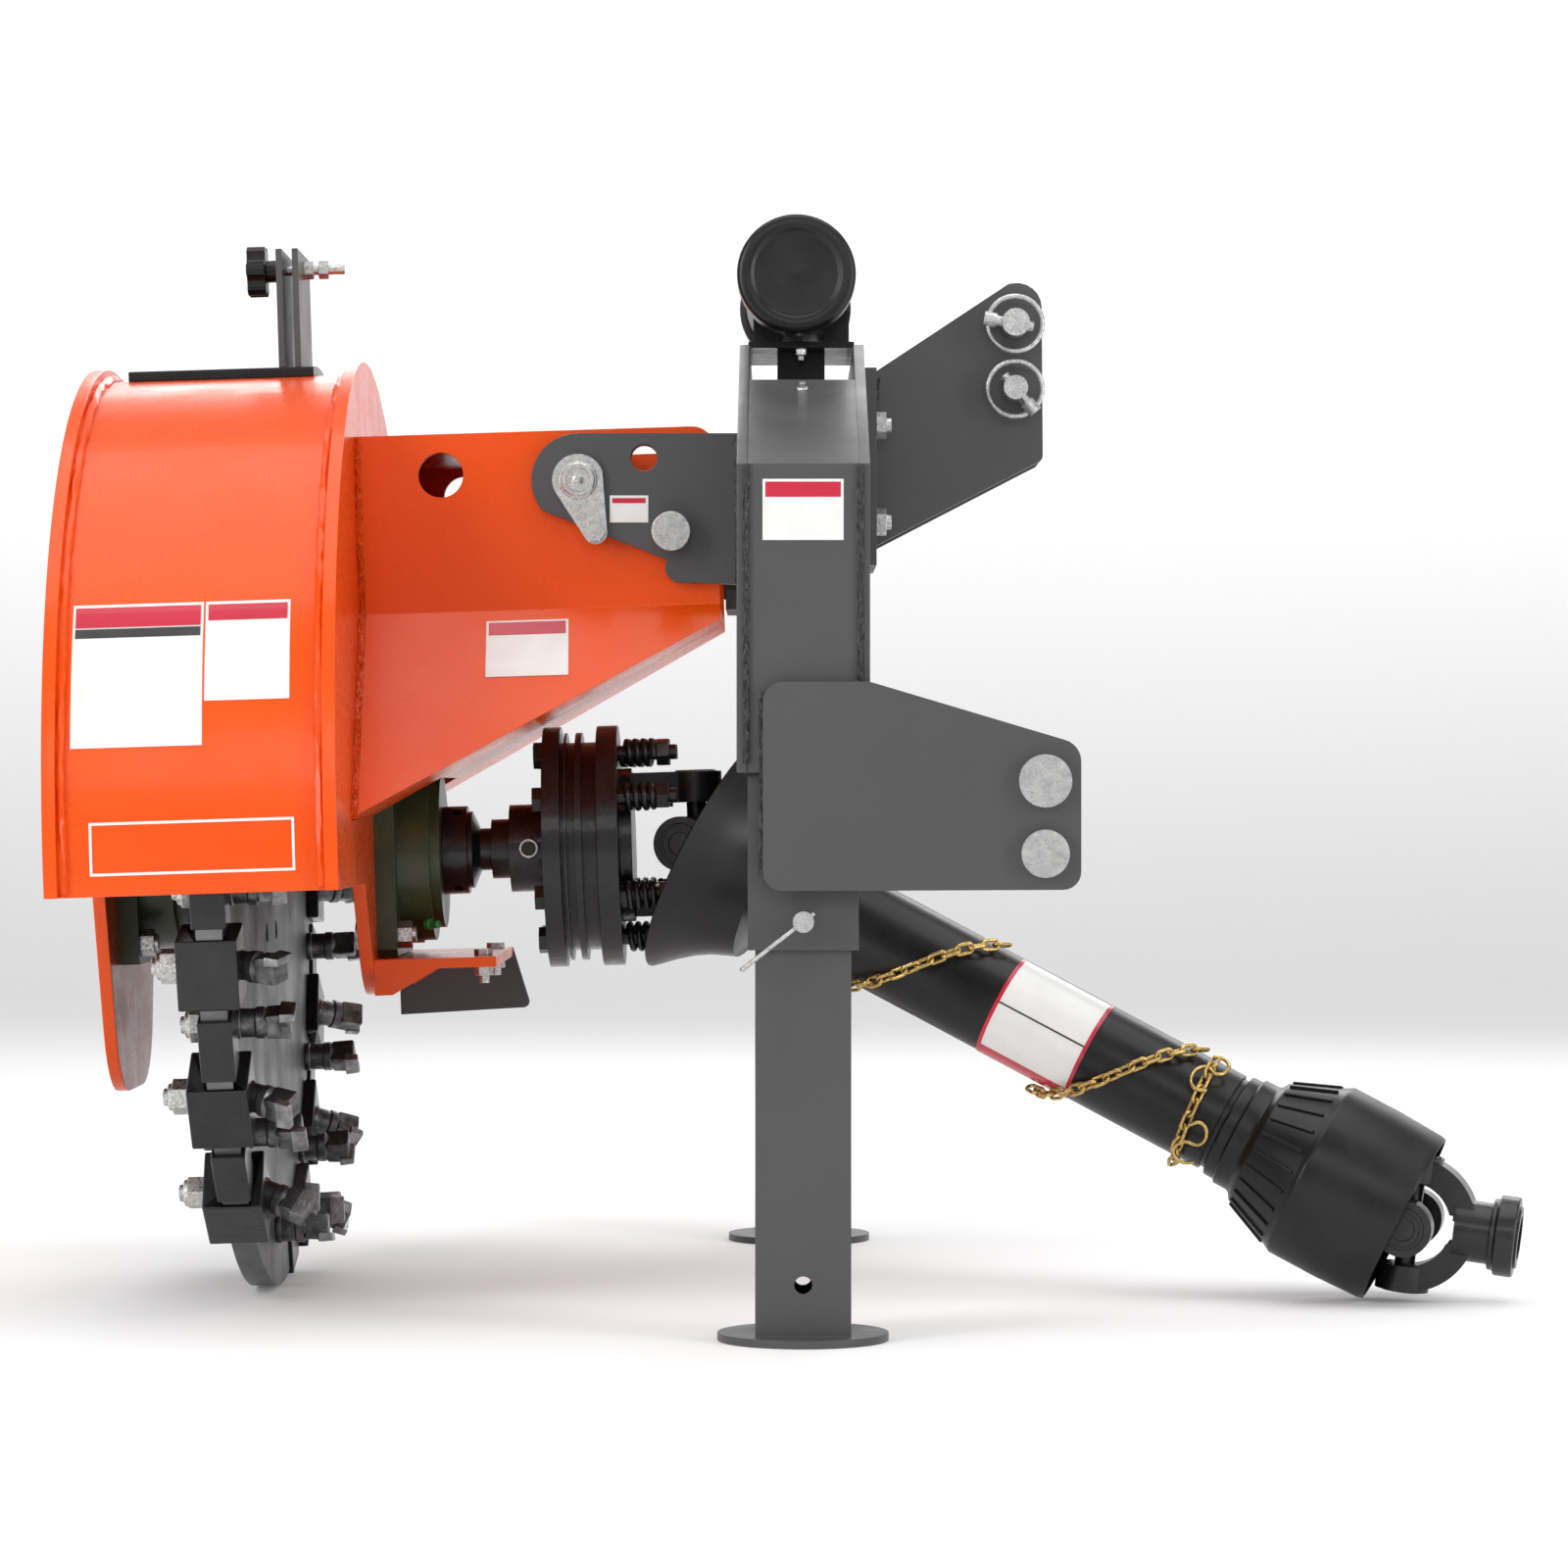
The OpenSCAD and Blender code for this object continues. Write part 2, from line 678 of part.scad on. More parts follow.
clutch_r = 97;
bolt_r = 78;
bolt_angles = [30, 72, 108, 150, 210, 252, 288, 330];
front_u = -40.4;
flange_u = 2.6;
flange_t = 17;
spring_l = 31;

module at_clutch_bolts() for (a = bolt_angles) rotate([a, 0, 0]) translate([0, bolt_r, 0]) children();

module clutch_plates()
    color(black) in_axle() difference() {
        union() {
            rod_x(clutch_r, front_u, front_u + 14);
            rod_x(84, front_u + 14 - eps, flange_u - gap);
            rod_x(92, front_u + 17, front_u + 19);
            rod_x(92, front_u + 26, front_u + 31);
        }
        rod_x(38, front_u - 1, front_u + 15);
        rod_x(66, front_u + 14, flange_u);
        at_clutch_bolts() rod_x(6 + play, front_u - 1, flange_u);
    }

yoke_eye_r = 21;
arm_z0 = 33;
arm_z1 = 58;

module fork_z(base_x)
    for (s = [0, 1]) mirror([0, 0, s]) difference() {
        union() {
            rod_z(yoke_eye_r, arm_z0, arm_z1);
            box([base_x, -16, arm_z0], [0, 16, arm_z1]);
        }
        rod_z(trunnion_r + play, arm_z0 - 1, arm_z1 - 3);
    }

module clutch_flange_yoke()
    color(black) in_axle() {
        difference() {
            union() {
                rod_x(clutch_r, flange_u, flange_u + flange_t);
                rod_x(62, flange_u + flange_t - eps, flange_u + flange_t + 10);
            }
            at_clutch_bolts() rod_x(6 + play, flange_u - 1, flange_u + flange_t + 11);
        }
        translate([joint_u, 0, 0]) fork_z(flange_u + flange_t + 10 - joint_u);
    }

module clutch_bolts()
    color(black) in_axle() at_clutch_bolts() {
        rod_x(6, front_u, flange_u + flange_t + spring_l + 16);
        hex_x(19, front_u - 8, front_u);
        hex_x(19, flange_u + flange_t + spring_l, flange_u + flange_t + spring_l + 10);
    }

module clutch_springs()
    color(black) in_axle() at_clutch_bolts() difference() {
        rod_x(11.8, flange_u + flange_t, flange_u + flange_t + spring_l);
        rod_x(7.2, flange_u + flange_t - 1, flange_u + flange_t + spring_l + 1);
    }

// ---- cutter rotor ----

module cutter_disc()
    color(grey) in_axle() difference() {
        rod_x(disc_r, disc_u - disc_t / 2, disc_u + disc_t / 2, $fn = 128);
        rod_x(cutter_shaft_r + play, disc_u - disc_t, disc_u + disc_t);
        for (i = [0:5]) rotate([i * 60, 0, 0]) translate([0, 70, 0])
            rod_x(8, disc_u - disc_t, disc_u + disc_t);
    }

// The teeth come in three groups. Every station has a straight tooth on the disc's tractor
// side. In a group, a narrow block straddles the rim at each station, and half a step on a
// wide one holds a tooth that leans outwards.
holder_r = 300;
step = 360 / stations;
phase = 164;
rim_r = 349;
saddle_u = [-26, 20];
tooth_lean = 28;
barrel_l = 25;

function grouped(i) = i % 6 < 4;
module at_station(i)
    rotate([phase + i * step, 0, 0]) translate([disc_u, holder_r, 0]) children();

module tooth_holders()
    color(black) in_axle() difference() {
        for (i = [0:stations - 1]) if (grouped(i)) {
            at_station(i) box([-13, 16, -25], [13, rim_r - holder_r, 25]);
            at_station(i + 0.5)
                box([saddle_u[0], -4, -27], [saddle_u[1], rim_r - holder_r - 2, 27]);
        }
        rod_x(disc_r, disc_u - disc_t / 2, disc_u + disc_t / 2, $fn = 128);
    }

module tooth() {
    rod_x(12.3, 0, barrel_l);
    box([barrel_l - 1, -12, -12], [barrel_l + 21, 12, 12]);
}

module cutter_teeth()
    color(zinc) in_axle() for (i = [0:stations - 1]) {
        at_station(i) translate([disc_t / 2, 0, 0]) tooth();
        if (grouped(i)) at_station(i + 0.5) difference() {
            translate([saddle_u[1] - 6, 16, 0]) rotate([0, 0, tooth_lean]) tooth();
            box([-disc_t, -40, -20], [saddle_u[1], 60, 20]);
        }
    }

module cutter_shaft()
    color(zinc) in_axle() {
        rod_x(cutter_shaft_r, -hood_left + hood_t + 2, -104);
        rod_x(shaft_nose_r, -104 - eps, -84);
        difference() {
            rod_x(95, disc_u - disc_t / 2 - 14, disc_u - disc_t / 2);
            rod_x(cutter_shaft_r - 1, disc_u - disc_t, disc_u);
            for (i = [0:5]) rotate([i * 60, 0, 0]) translate([0, 70, 0])
                rod_x(8, disc_u - 40, disc_u);
        }
    }

module bearing_collars()
    color(black) in_axle() difference() {
        rod_x(35.5, -hood_right + bearing_t + gap, -104);
        rod_x(cutter_shaft_r + play, -hood_right, -100);
        for (a = [0, 120, 240]) rotate([a, 0, 0]) translate([-112, 0, 0]) rod_y(4, 20, 40);
    }

// The clutch's driven hub, which carries the cutter shaft's taper.
module clutch_hub()
    color(black) in_axle() difference() {
        union() {
            rod_x(31, -104 + gap, -100);
            translate([-100, 0, 0]) rotate([0, 90, 0]) cylinder(r1 = 31, r2 = 17, h = 6);
            rod_x(17, -94 - eps, -85);
            rod_x(24, -85 - eps, -70);
            rod_x(35.3, -70 - eps, front_u + 22);
            rod_x(60, front_u + 19.5, front_u + 25.5);
            translate([-54, 0, 0]) rod_y(8.5, -38, 0);
        }
        rod_x(shaft_nose_r + play, -120, -83);
    }

// ---- driveshaft ----

module cross_piece(z1 = arm_z1)
    color(black) {
        rod_z(trunnion_r, -z1 + 4, z1 - 4);
        rod_y(trunnion_r, -arm_z1 + 4, arm_z1 - 4);
        sphere(r = 15);
    }

module first_cross() in_first_cross() cross_piece();
module second_cross() in_second_cross() cross_piece(end_arm);

yoke_base = 58;
end_arm = 53;

module fork_y(dir, base)
    mirror([dir < 0 ? 1 : 0, 0, 0]) {
        both_sides() difference() {
            union() {
                rod_y(22, arm_z0, arm_z1);
                box([0, arm_z0, -17], [base, arm_z1, 17]);
            }
            rod_y(trunnion_r + play, arm_z0 - 1, arm_z1 - 3);
        }
        rod_x(arm_z1, base - eps, base + 8);
    }

inner_r = 17;
outer_r = 24;

module inner_shaft()
    color(black) in_shaft() {
        fork_y(1, yoke_base);
        rod_x(30, yoke_base + 7, 122);
        rod_x(inner_r, 121, 400);
    }

module outer_shaft()
    color(black) in_shaft() {
        translate([shaft_l, 0, 0]) fork_y(-1, yoke_base);
        difference() {
            union() {
                rod_x(30, shaft_l - 124, shaft_l - yoke_base - 7);
                rod_x(outer_r, 200, shaft_l - 123);
            }
            rod_x(inner_r + 0.3, 199, shaft_l - 100);
        }
    }

// A guard cone: a thin trumpet from radius r0 at x = 0 to the tube.
module near_shield()
    color(black) in_shaft() {
        rotate([0, 90, 0]) rotate_extrude($fn = 96) polygon([
            [106, 13], [75, 52], [67, 72], [shield_r, 72], [shield_r, 480], [38.6, 480]
            , [38.6, 118], [30.3, 118], [30.3, 104], [38.6, 104], [38.6, 69], [64.6, 69]
            , [72.4, 51], [103, 12]]);
    }

bell_r = 72;

module far_shield()
    color(black) in_shaft() {
        rotate([0, 90, 0]) rotate_extrude($fn = 96) polygon([
            [38.2, 240], [38.2, 484], [43, 484], [43, 512], [53, 514], [70, 556]
            , [bell_r + 1, 560], [bell_r + 1, 600], [bell_r - 1, 641], [bell_r - 4, 641]
            , [bell_r - 2, 600], [bell_r - 2, 562], [67, 559], [50.5, 519], [35.8, 516], [35.8, 548]
            , [30.3, 548], [30.3, 534], [33, 534], [33, 512], [35.8, 508], [35.8, 240]]);
    }

link_wire = 1.5;
link_r = 3.8;
link_l = 7;
link_pitch = 11;

// A long link: two half rings joined by straight wires.
module chain_link() {
    for (s = [0, 180]) rotate([0, 0, s]) {
        translate([link_l / 2, 0, 0]) rotate([0, 0, -90]) rotate_extrude(angle = 180, $fn = 24)
            translate([link_r, 0]) circle(r = link_wire, $fn = 13);
        translate([0, link_r, 0]) rod_x(link_wire, -link_l / 2, link_l / 2);
    }
}

// Chain links laid round the shield tube, from x0 at angle a0 to x1 at angle a1; each
// link is turned a quarter against the last one.
module wrapped_chain(x0, x1, a0, a1, r) {
    side_l = (a1 - a0) * PI / 180 * r;
    n = floor(norm([x1 - x0, side_l]) / link_pitch);
    for (i = [0:n]) let (t = i / n)
        rotate([a0 + (a1 - a0) * t, 0, 0]) translate([x0 + (x1 - x0) * t, 0, r])
            rotate([0, 0, -atan2(side_l, x1 - x0)]) rotate([i % 2 == 0 ? 45 : -45, 0, 0])
                chain_link();
}

chain_r = shield_r + 6.5;

module near_chain()
    color(brass) in_shaft() wrapped_chain(150, 262, 175, 20, chain_r);

module far_chains()
    color(brass) in_shaft() {
        wrapped_chain(335, 440, 175, 20, chain_r);
        wrapped_chain(455, 462, 30, 150, chain_r + 1);
    }

yoke_in = 33;
hub_end = 86;
hub_r = 24;
spline_r = 17.5;
collar_back = 10;

// A yoke bent round like a C, with the splined hub on its back.
module end_yoke()
    color(black) in_second_cross() difference() {
        union() {
            difference() {
                rod_y(end_arm, -16, 16);
                rod_y(yoke_in, -17, 17);
                box([-end_arm - 1, -17, -end_arm - 1], [0, 17, end_arm + 1]);
            }
            for (s = [0, 1]) mirror([0, 0, s]) rod_z(yoke_eye_r, yoke_in, end_arm);
            rod_x(hub_r, yoke_in + 3, hub_end);
        }
        rod_x(spline_r, 0, hub_end + 1);
        rod_x(spline_r + 2, 0, yoke_in + 1);
        rod_z(trunnion_r + play, -end_arm + 3, end_arm - 3);
    }

// Pulled back by hand to free the tractor's stub shaft.
collar_x = end_arm + collar_back + gap;

module lock_collar()
    color(black) in_second_cross() difference() {
        union() {
            rod_x(28, collar_x, collar_x + 5);
            rod_x(31.5, collar_x + 5 - eps, hub_end - 2);
        }
        rod_x(hub_r + play, collar_x - 1, hub_end);
    }

rear_portal_plate();
front_portal_plate();
outer_web();
inner_web();
leg_sleeves();
lower_link_plates();
lower_link_pins();
top_link_bracket();
top_link_pins();
lynch_pins();
frame_bolts();
pivot_ears();
pivot_pin();
pivot_keeper();
bump_stop();
near_tilt_pin();
far_tilt_pin();
manual_bracket();
manual_tube();
manual_lid();
near_leg();
far_leg();
near_leg_pin();
far_leg_pin();
hood_outer_plate();
hood_inner_plate();
hood_shell();
boom_near_plate();
boom_far_plate();
boom_top_plate();
boom_bottom_plate();
boom_bushes();
hood_strip();
curtain_bars();
curtain_bolt();
curtain_knob();
flap_bracket();
debris_flap();
axle_bearings();
head_bolts();
clutch_plates();
clutch_flange_yoke();
clutch_bolts();
clutch_springs();
cutter_disc();
tooth_holders();
cutter_teeth();
cutter_shaft();
bearing_collars();
clutch_hub();
first_cross();
inner_shaft();
near_shield();
near_chain();
outer_shaft();
far_shield();
far_chains();
second_cross();
end_yoke();
lock_collar();
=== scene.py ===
"""Looks of the stump grinder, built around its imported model.

Metres throughout: +X to the tractor, +Y to the far side, +Z up, feet on Z = 0.
"""
import json
import math

import bpy
from mathutils import Matrix, Vector

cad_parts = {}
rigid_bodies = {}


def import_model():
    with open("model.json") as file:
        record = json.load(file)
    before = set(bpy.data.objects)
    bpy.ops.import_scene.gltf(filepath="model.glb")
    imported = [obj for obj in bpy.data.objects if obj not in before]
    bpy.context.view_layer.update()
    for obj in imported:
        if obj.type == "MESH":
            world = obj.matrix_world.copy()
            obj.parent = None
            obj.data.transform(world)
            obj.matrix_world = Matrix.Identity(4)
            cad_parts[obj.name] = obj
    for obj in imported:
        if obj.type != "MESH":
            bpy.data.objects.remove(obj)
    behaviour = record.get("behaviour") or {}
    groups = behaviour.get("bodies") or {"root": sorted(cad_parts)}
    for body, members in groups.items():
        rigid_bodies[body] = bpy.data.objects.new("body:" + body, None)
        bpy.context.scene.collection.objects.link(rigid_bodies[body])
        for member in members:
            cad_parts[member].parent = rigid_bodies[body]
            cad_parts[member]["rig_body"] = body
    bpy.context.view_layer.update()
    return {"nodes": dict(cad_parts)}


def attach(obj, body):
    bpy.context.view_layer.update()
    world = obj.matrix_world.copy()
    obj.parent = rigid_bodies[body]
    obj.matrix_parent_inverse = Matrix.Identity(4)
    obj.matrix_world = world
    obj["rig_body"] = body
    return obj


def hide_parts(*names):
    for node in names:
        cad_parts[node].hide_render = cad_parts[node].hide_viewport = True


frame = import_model()
MM = 0.001


# ---- frames of the moving groups ----

def turn(degrees, axis):
    return Matrix.Rotation(math.radians(degrees), 4, axis)


def shift(x, y=0.0, z=0.0):
    return Matrix.Translation((x * MM, y * MM, z * MM))


# Driving sizes, in millimetres and degrees, as in the CAD.
PIVOT_X, PIVOT_Z = -173.5, 641
JOINT_U = 81
SHAFT_L = 646
JOINT_ARM = 58
END_ARM = 53

LEVEL = Matrix.Identity(4)
HEAD = shift(PIVOT_X, 0, PIVOT_Z) @ turn(-1.8, "Y")
AXLE = HEAD @ shift(0, 0, -286)
CROSS = AXLE @ shift(JOINT_U) @ turn(-13, "Z")
SHAFT = CROSS @ turn(29, "Y")
END = SHAFT @ shift(SHAFT_L) @ turn(-20, "Y")
MANUAL = shift(-4, 0, 803) @ turn(90, "Z")

SHELL_U = (-379, -184)
SHELL_R = 386
SKIRT = 22
HOOD_U = -174
BOOM_Y = 148.6
FOLD_W = -99
BOOM_LOW = -256
FLARE = 127 / 157
DISC_U = -276
DISC_T = 20
STATIONS = 18
PHASE = 164
HOLDER_R = 300
SADDLE_U = (-26, 20)
TOOTH_LEAN = 28
BOLT_R = 78
BOLT_ANGLES = (30, 72, 108, 150, 210, 252, 288, 330)
SPRING_SEAT = 2.6 + 17
TUBE_R = 41
POST_Y = 440
EAR_Y = 161


# ---- materials ----

class Wire:
    """What leaves a node, with the arithmetic that the materials need."""

    def __init__(self, paint, socket):
        self.paint = paint
        self.socket = socket

    def maths(self, operation, a, b):
        return self.paint.node("ShaderNodeMath", {"operation": operation}, {0: a, 1: b})

    def __add__(self, other):
        return self.maths("ADD", self, other)

    def __radd__(self, other):
        return self.maths("ADD", other, self)

    def __rsub__(self, other):
        return self.maths("SUBTRACT", other, self)

    def __mul__(self, other):
        return self.maths("MULTIPLY", self, other)


class Paint:
    """A material under construction, placed by each object's own coordinates."""

    def __init__(self, name, **constants):
        self.material = bpy.data.materials.new(name)
        self.material.use_nodes = True
        self.tree = self.material.node_tree
        self.shader = self.tree.nodes["Principled BSDF"]
        for socket, value in constants.items():
            self.shader.inputs[socket.replace("_", " ")].default_value = value
        self.place = self.node("ShaderNodeTexCoord", {}, {}, "Object")

    def node(self, kind, settings, sockets, out=0):
        """Adds a node, sets it, feeds its sockets and gives back one output."""
        node = self.tree.nodes.new(kind)
        for name, value in settings.items():
            setattr(node, name, value)
        for name, value in sockets.items():
            if isinstance(value, Wire):
                self.tree.links.new(value.socket, node.inputs[name])
            else:
                node.inputs[name].default_value = value
        return Wire(self, node.outputs[out])

    def noise(self, scale, detail=3.0, roughness=0.5):
        return self.node("ShaderNodeTexNoise", {}, {
            "Vector": self.place, "Scale": scale, "Detail": detail, "Roughness": roughness})

    def cells(self, scale, out="Distance"):
        return self.node("ShaderNodeTexVoronoi", {}, {"Vector": self.place, "Scale": scale}, out)

    def spread(self, value, low, high):
        """Maps low..high of a value to 0..1."""
        return self.node("ShaderNodeMapRange", {"clamp": True}, {
            "Value": value, "From Min": low, "From Max": high})

    def mix(self, factor, a, b):
        """Blends two colours, where a factor of 0 gives the first."""
        rgb = {name: tuple(value) + (1.0,) if isinstance(value, tuple) else value
               for name, value in ((6, a), (7, b))}
        return self.node("ShaderNodeMix", {"data_type": "RGBA"}, {0: factor, **rgb}, 2)

    def set(self, **wires):
        """Links wires to the shader's sockets."""
        for name, wire in wires.items():
            self.tree.links.new(wire.socket, self.shader.inputs[name.replace("_", " ")])

    def bump(self, height, distance):
        self.set(Normal=self.node("ShaderNodeBump", {}, {
            "Height": height, "Distance": distance, "Strength": 1.0}))


def enamel(name, colour, deep, roughness, coat, peel=260.0, lift=0.00012, dust=0.12):
    """Sprayed paint: fine orange peel, drifts of tone, and a little dust on the gloss."""
    paint = Paint(name, Coat_Roughness=0.08, Specular_IOR_Level=0.3)
    drift = paint.spread(paint.noise(5.0, 4.0), 0.3, 0.7)
    paint.set(Base_Color=paint.mix(drift * 0.55, colour, deep))
    grain = paint.noise(peel, 2.0)
    smear = paint.spread(paint.noise(22.0, 5.0, 0.6), 0.35, 0.75)
    paint.set(Roughness=smear * dust + (roughness - dust / 2))
    paint.set(Coat_Weight=coat - smear * (coat * 0.35))
    paint.bump(grain + paint.noise(60.0, 2.0) * 1.2, lift)
    return paint.material


def plated(name, colour, dark, roughness, scale):
    """Zinc plate: a mottle of bright and dull crystals."""
    paint = Paint(name, Metallic=1.0)
    fleck = paint.cells(scale, "Color")
    grey = paint.node("ShaderNodeSeparateColor", {}, {"Color": fleck})
    cloud = paint.spread(paint.noise(scale * 0.25, 3.0), 0.3, 0.7)
    paint.set(Base_Color=paint.mix(grey * 0.6 + cloud * 0.35, colour, dark))
    paint.set(Roughness=grey * 0.28 + roughness)
    paint.bump(grey + paint.noise(scale * 1.5), 0.00012)
    return paint.material


def casting(name, colour, deep, roughness, coat, grit=420.0):
    """Enamel over a sand casting: coarse grain under the gloss."""
    paint = Paint(name, Coat_Roughness=0.12, Specular_IOR_Level=0.35)
    lump = paint.noise(grit, 4.0, 0.65)
    swell = paint.noise(45.0, 3.0)
    paint.set(Base_Color=paint.mix(paint.spread(swell, 0.35, 0.7), colour, deep))
    paint.set(Roughness=paint.spread(paint.noise(30.0, 4.0), 0.3, 0.7) * 0.16 + roughness)
    paint.set(Coat_Weight=coat - paint.spread(lump, 0.4, 0.8) * (coat * 0.5))
    paint.bump(lump + swell * 2.5, 0.0004)
    return paint.material


def moulded(name, colour, deep, roughness, grain=900.0):
    """Moulded plastic: a fine matt grain and faint scuffs along the surface."""
    paint = Paint(name, Specular_IOR_Level=0.35)
    scuff = paint.spread(paint.noise(14.0, 6.0, 0.7), 0.45, 0.72)
    paint.set(Base_Color=paint.mix(scuff, colour, deep))
    paint.set(Roughness=roughness + scuff * 0.14)
    paint.bump(paint.noise(grain, 2.0), 0.00006)
    return paint.material


def ground_steel(name, colour, dark, roughness, centre):
    """Turned steel: rings of tool marks round an axis, with heat and handling stains."""
    paint = Paint(name, Metallic=1.0)
    about = paint.node("ShaderNodeMapping", {"vector_type": "TEXTURE"}, {
        "Vector": paint.place, "Location": centre.to_translation(),
        "Rotation": tuple(centre.to_euler())})
    across = paint.node("ShaderNodeVectorMath", {"operation": "MULTIPLY"}, {
        0: about, 1: (0.0, 1.0, 1.0)})
    radius = paint.node("ShaderNodeVectorMath", {"operation": "LENGTH"}, {0: across}, "Value")
    rings = paint.node("ShaderNodeTexNoise", {"noise_dimensions": "1D"}, {
        "W": radius, "Scale": 900.0, "Detail": 3.0})
    stain = paint.spread(paint.noise(12.0, 5.0, 0.6), 0.35, 0.7)
    paint.set(Base_Color=paint.mix(stain * 0.8 + rings * 0.2, colour, dark))
    paint.set(Roughness=stain * 0.2 + rings * 0.12 + roughness)
    paint.bump(rings, 0.00008)
    return paint.material


def forged(name, colour, dark, roughness):
    """Forged teeth: dark scale in the hollows, rubbed bright where it wears."""
    paint = Paint(name, Metallic=1.0)
    scale = paint.spread(paint.noise(90.0, 5.0, 0.65), 0.38, 0.66)
    pits = paint.spread(paint.cells(700.0), 0.0, 0.4)
    paint.set(Base_Color=paint.mix(scale, colour, dark))
    paint.set(Roughness=scale * 0.25 + roughness)
    paint.bump(pits * 0.5 + scale, 0.00025)
    return paint.material


def printed(name, colour, deep):
    """A glossy sticker, a little uneven where it lies on the paint."""
    paint = Paint(name, Coat_Weight=0.4)
    wash = paint.spread(paint.noise(40.0, 3.0), 0.3, 0.8)
    paint.set(Base_Color=paint.mix(wash, colour, deep))
    paint.set(Roughness=wash * 0.1 + 0.3)
    paint.bump(paint.noise(120.0), 0.00004)
    return paint.material


ORANGE = enamel("orange_enamel", (0.80, 0.080, 0.002), (0.74, 0.068, 0.001), 0.30, 0.12)
GREY = enamel("dark_grey_powder", (0.078, 0.078, 0.080), (0.066, 0.066, 0.068), 0.40, 0.04,
              peel=420.0, lift=0.00009)
BLACK = casting("black_cast_enamel", (0.008, 0.008, 0.009), (0.013, 0.013, 0.014), 0.24, 0.3)
BLACK_PLATE = enamel("black_plate_enamel", (0.009, 0.009, 0.010), (0.014, 0.014, 0.015),
                     0.30, 0.15)
GREEN = casting("olive_cast_enamel", (0.045, 0.060, 0.022), (0.030, 0.041, 0.015), 0.30, 0.2)
ZINC = plated("speckled_zinc", (0.74, 0.74, 0.73), (0.36, 0.36, 0.36), 0.24, 620.0)
GOLD_ZINC = plated("yellow_zinc", (0.72, 0.50, 0.17), (0.42, 0.30, 0.12), 0.22, 500.0)
PLASTIC = moulded("black_moulding", (0.007, 0.007, 0.007), (0.014, 0.014, 0.014), 0.30)
RUBBER = moulded("dark_rubber", (0.055, 0.056, 0.058), (0.075, 0.076, 0.078), 0.55, 500.0)
DISC_STEEL = ground_steel("disc_steel", (0.20, 0.20, 0.205), (0.10, 0.10, 0.105), 0.32, AXLE)
TOOTH_STEEL = forged("tooth_steel", (0.20, 0.20, 0.205), (0.07, 0.07, 0.073), 0.34)
CARBIDE = forged("carbide_tip", (0.36, 0.36, 0.365), (0.18, 0.18, 0.185), 0.28)
LABEL_WHITE = printed("label_white", (0.80, 0.80, 0.78), (0.72, 0.72, 0.70))
LABEL_RED = printed("label_red", (0.55, 0.010, 0.040), (0.47, 0.008, 0.032))
LABEL_DARK = printed("label_dark", (0.03, 0.03, 0.03), (0.05, 0.05, 0.05))
CAP_GREEN = moulded("green_cap", (0.03, 0.25, 0.04), (0.02, 0.18, 0.03), 0.35)


# ---- modelling ----

def clear():
    """Leaves edit mode with nothing selected."""
    if bpy.context.object and bpy.context.object.mode != "OBJECT":
        bpy.ops.object.mode_set(mode="OBJECT")
    bpy.ops.object.select_all(action="DESELECT")


def begin(name):
    """Names the primitive that was just added and opens it for editing."""
    obj = bpy.context.object
    obj.name = name
    bpy.ops.object.transform_apply(location=True, rotation=True, scale=True)
    bpy.ops.object.mode_set(mode="EDIT")
    bpy.ops.mesh.select_mode(type="VERT")
    return obj


def close(obj):
    """Merges doubles, turns the faces outwards and leaves edit mode."""
    bpy.ops.mesh.select_all(action="SELECT")
    bpy.ops.mesh.remove_doubles(threshold=0.00001)
    bpy.ops.mesh.normals_make_consistent(inside=False)
    bpy.ops.object.mode_set(mode="OBJECT")
    return obj


def only(obj):
    """Makes one object the selected and active one."""
    clear()
    obj.select_set(True)
    bpy.context.view_layer.objects.active = obj


def ease(obj, width, segments=2):
    """Rounds the sharp edges by width millimetres and smooths the rest."""
    only(obj)
    if width:
        modifier = obj.modifiers.new("rounding", "BEVEL")
        modifier.width = width * MM
        modifier.segments = segments
        modifier.limit_method = "ANGLE"
        modifier.angle_limit = math.radians(30)
        bpy.ops.object.modifier_apply(modifier=modifier.name)
    bpy.ops.object.shade_smooth_by_angle(angle=math.radians(38))
    modifier = obj.modifiers.new("flat_faces_flat", "WEIGHTED_NORMAL")
    modifier.keep_sharp = True
    bpy.ops.object.modifier_apply(modifier=modifier.name)
    return obj


def turned(name, profile, sides=48):
    """A lathe piece about X from a line of (x, radius) points in millimetres."""
    clear()
    x, r = profile[0]
    bpy.ops.mesh.primitive_plane_add(size=0.001, location=(x * MM, 0, r * MM))
    obj = begin(name)
    bpy.ops.mesh.merge(type="CENTER")
    for (x0, r0), (x1, r1) in zip(profile, profile[1:]):
        bpy.ops.mesh.extrude_region_move(TRANSFORM_OT_translate={
            "value": ((x1 - x0) * MM, 0, (r1 - r0) * MM)})
    bpy.ops.mesh.select_all(action="SELECT")
    bpy.ops.mesh.spin(steps=sides, angle=math.tau, center=(0, 0, 0), axis=(1, 0, 0))
    return close(obj)


def block(name, low, high):
    """A box between two corners in millimetres, open for editing."""
    clear()
    middle = [(a + b) / 2 * MM for a, b in zip(low, high)]
    bpy.ops.mesh.primitive_cube_add(size=1, location=middle)
    bpy.context.object.scale = [(b - a) * MM for a, b in zip(low, high)]
    return begin(name)


def faces(obj, pick):
    """Selects the faces whose centre, in millimetres, and normal pass the test."""
    bpy.ops.object.mode_set(mode="OBJECT")
    for vertex in obj.data.vertices:
        vertex.select = False
    for edge in obj.data.edges:
        edge.select = False
    for face in obj.data.polygons:
        face.select = bool(pick(face.center / MM, face.normal))
    bpy.ops.object.mode_set(mode="EDIT")
    bpy.ops.mesh.select_mode(type="FACE")


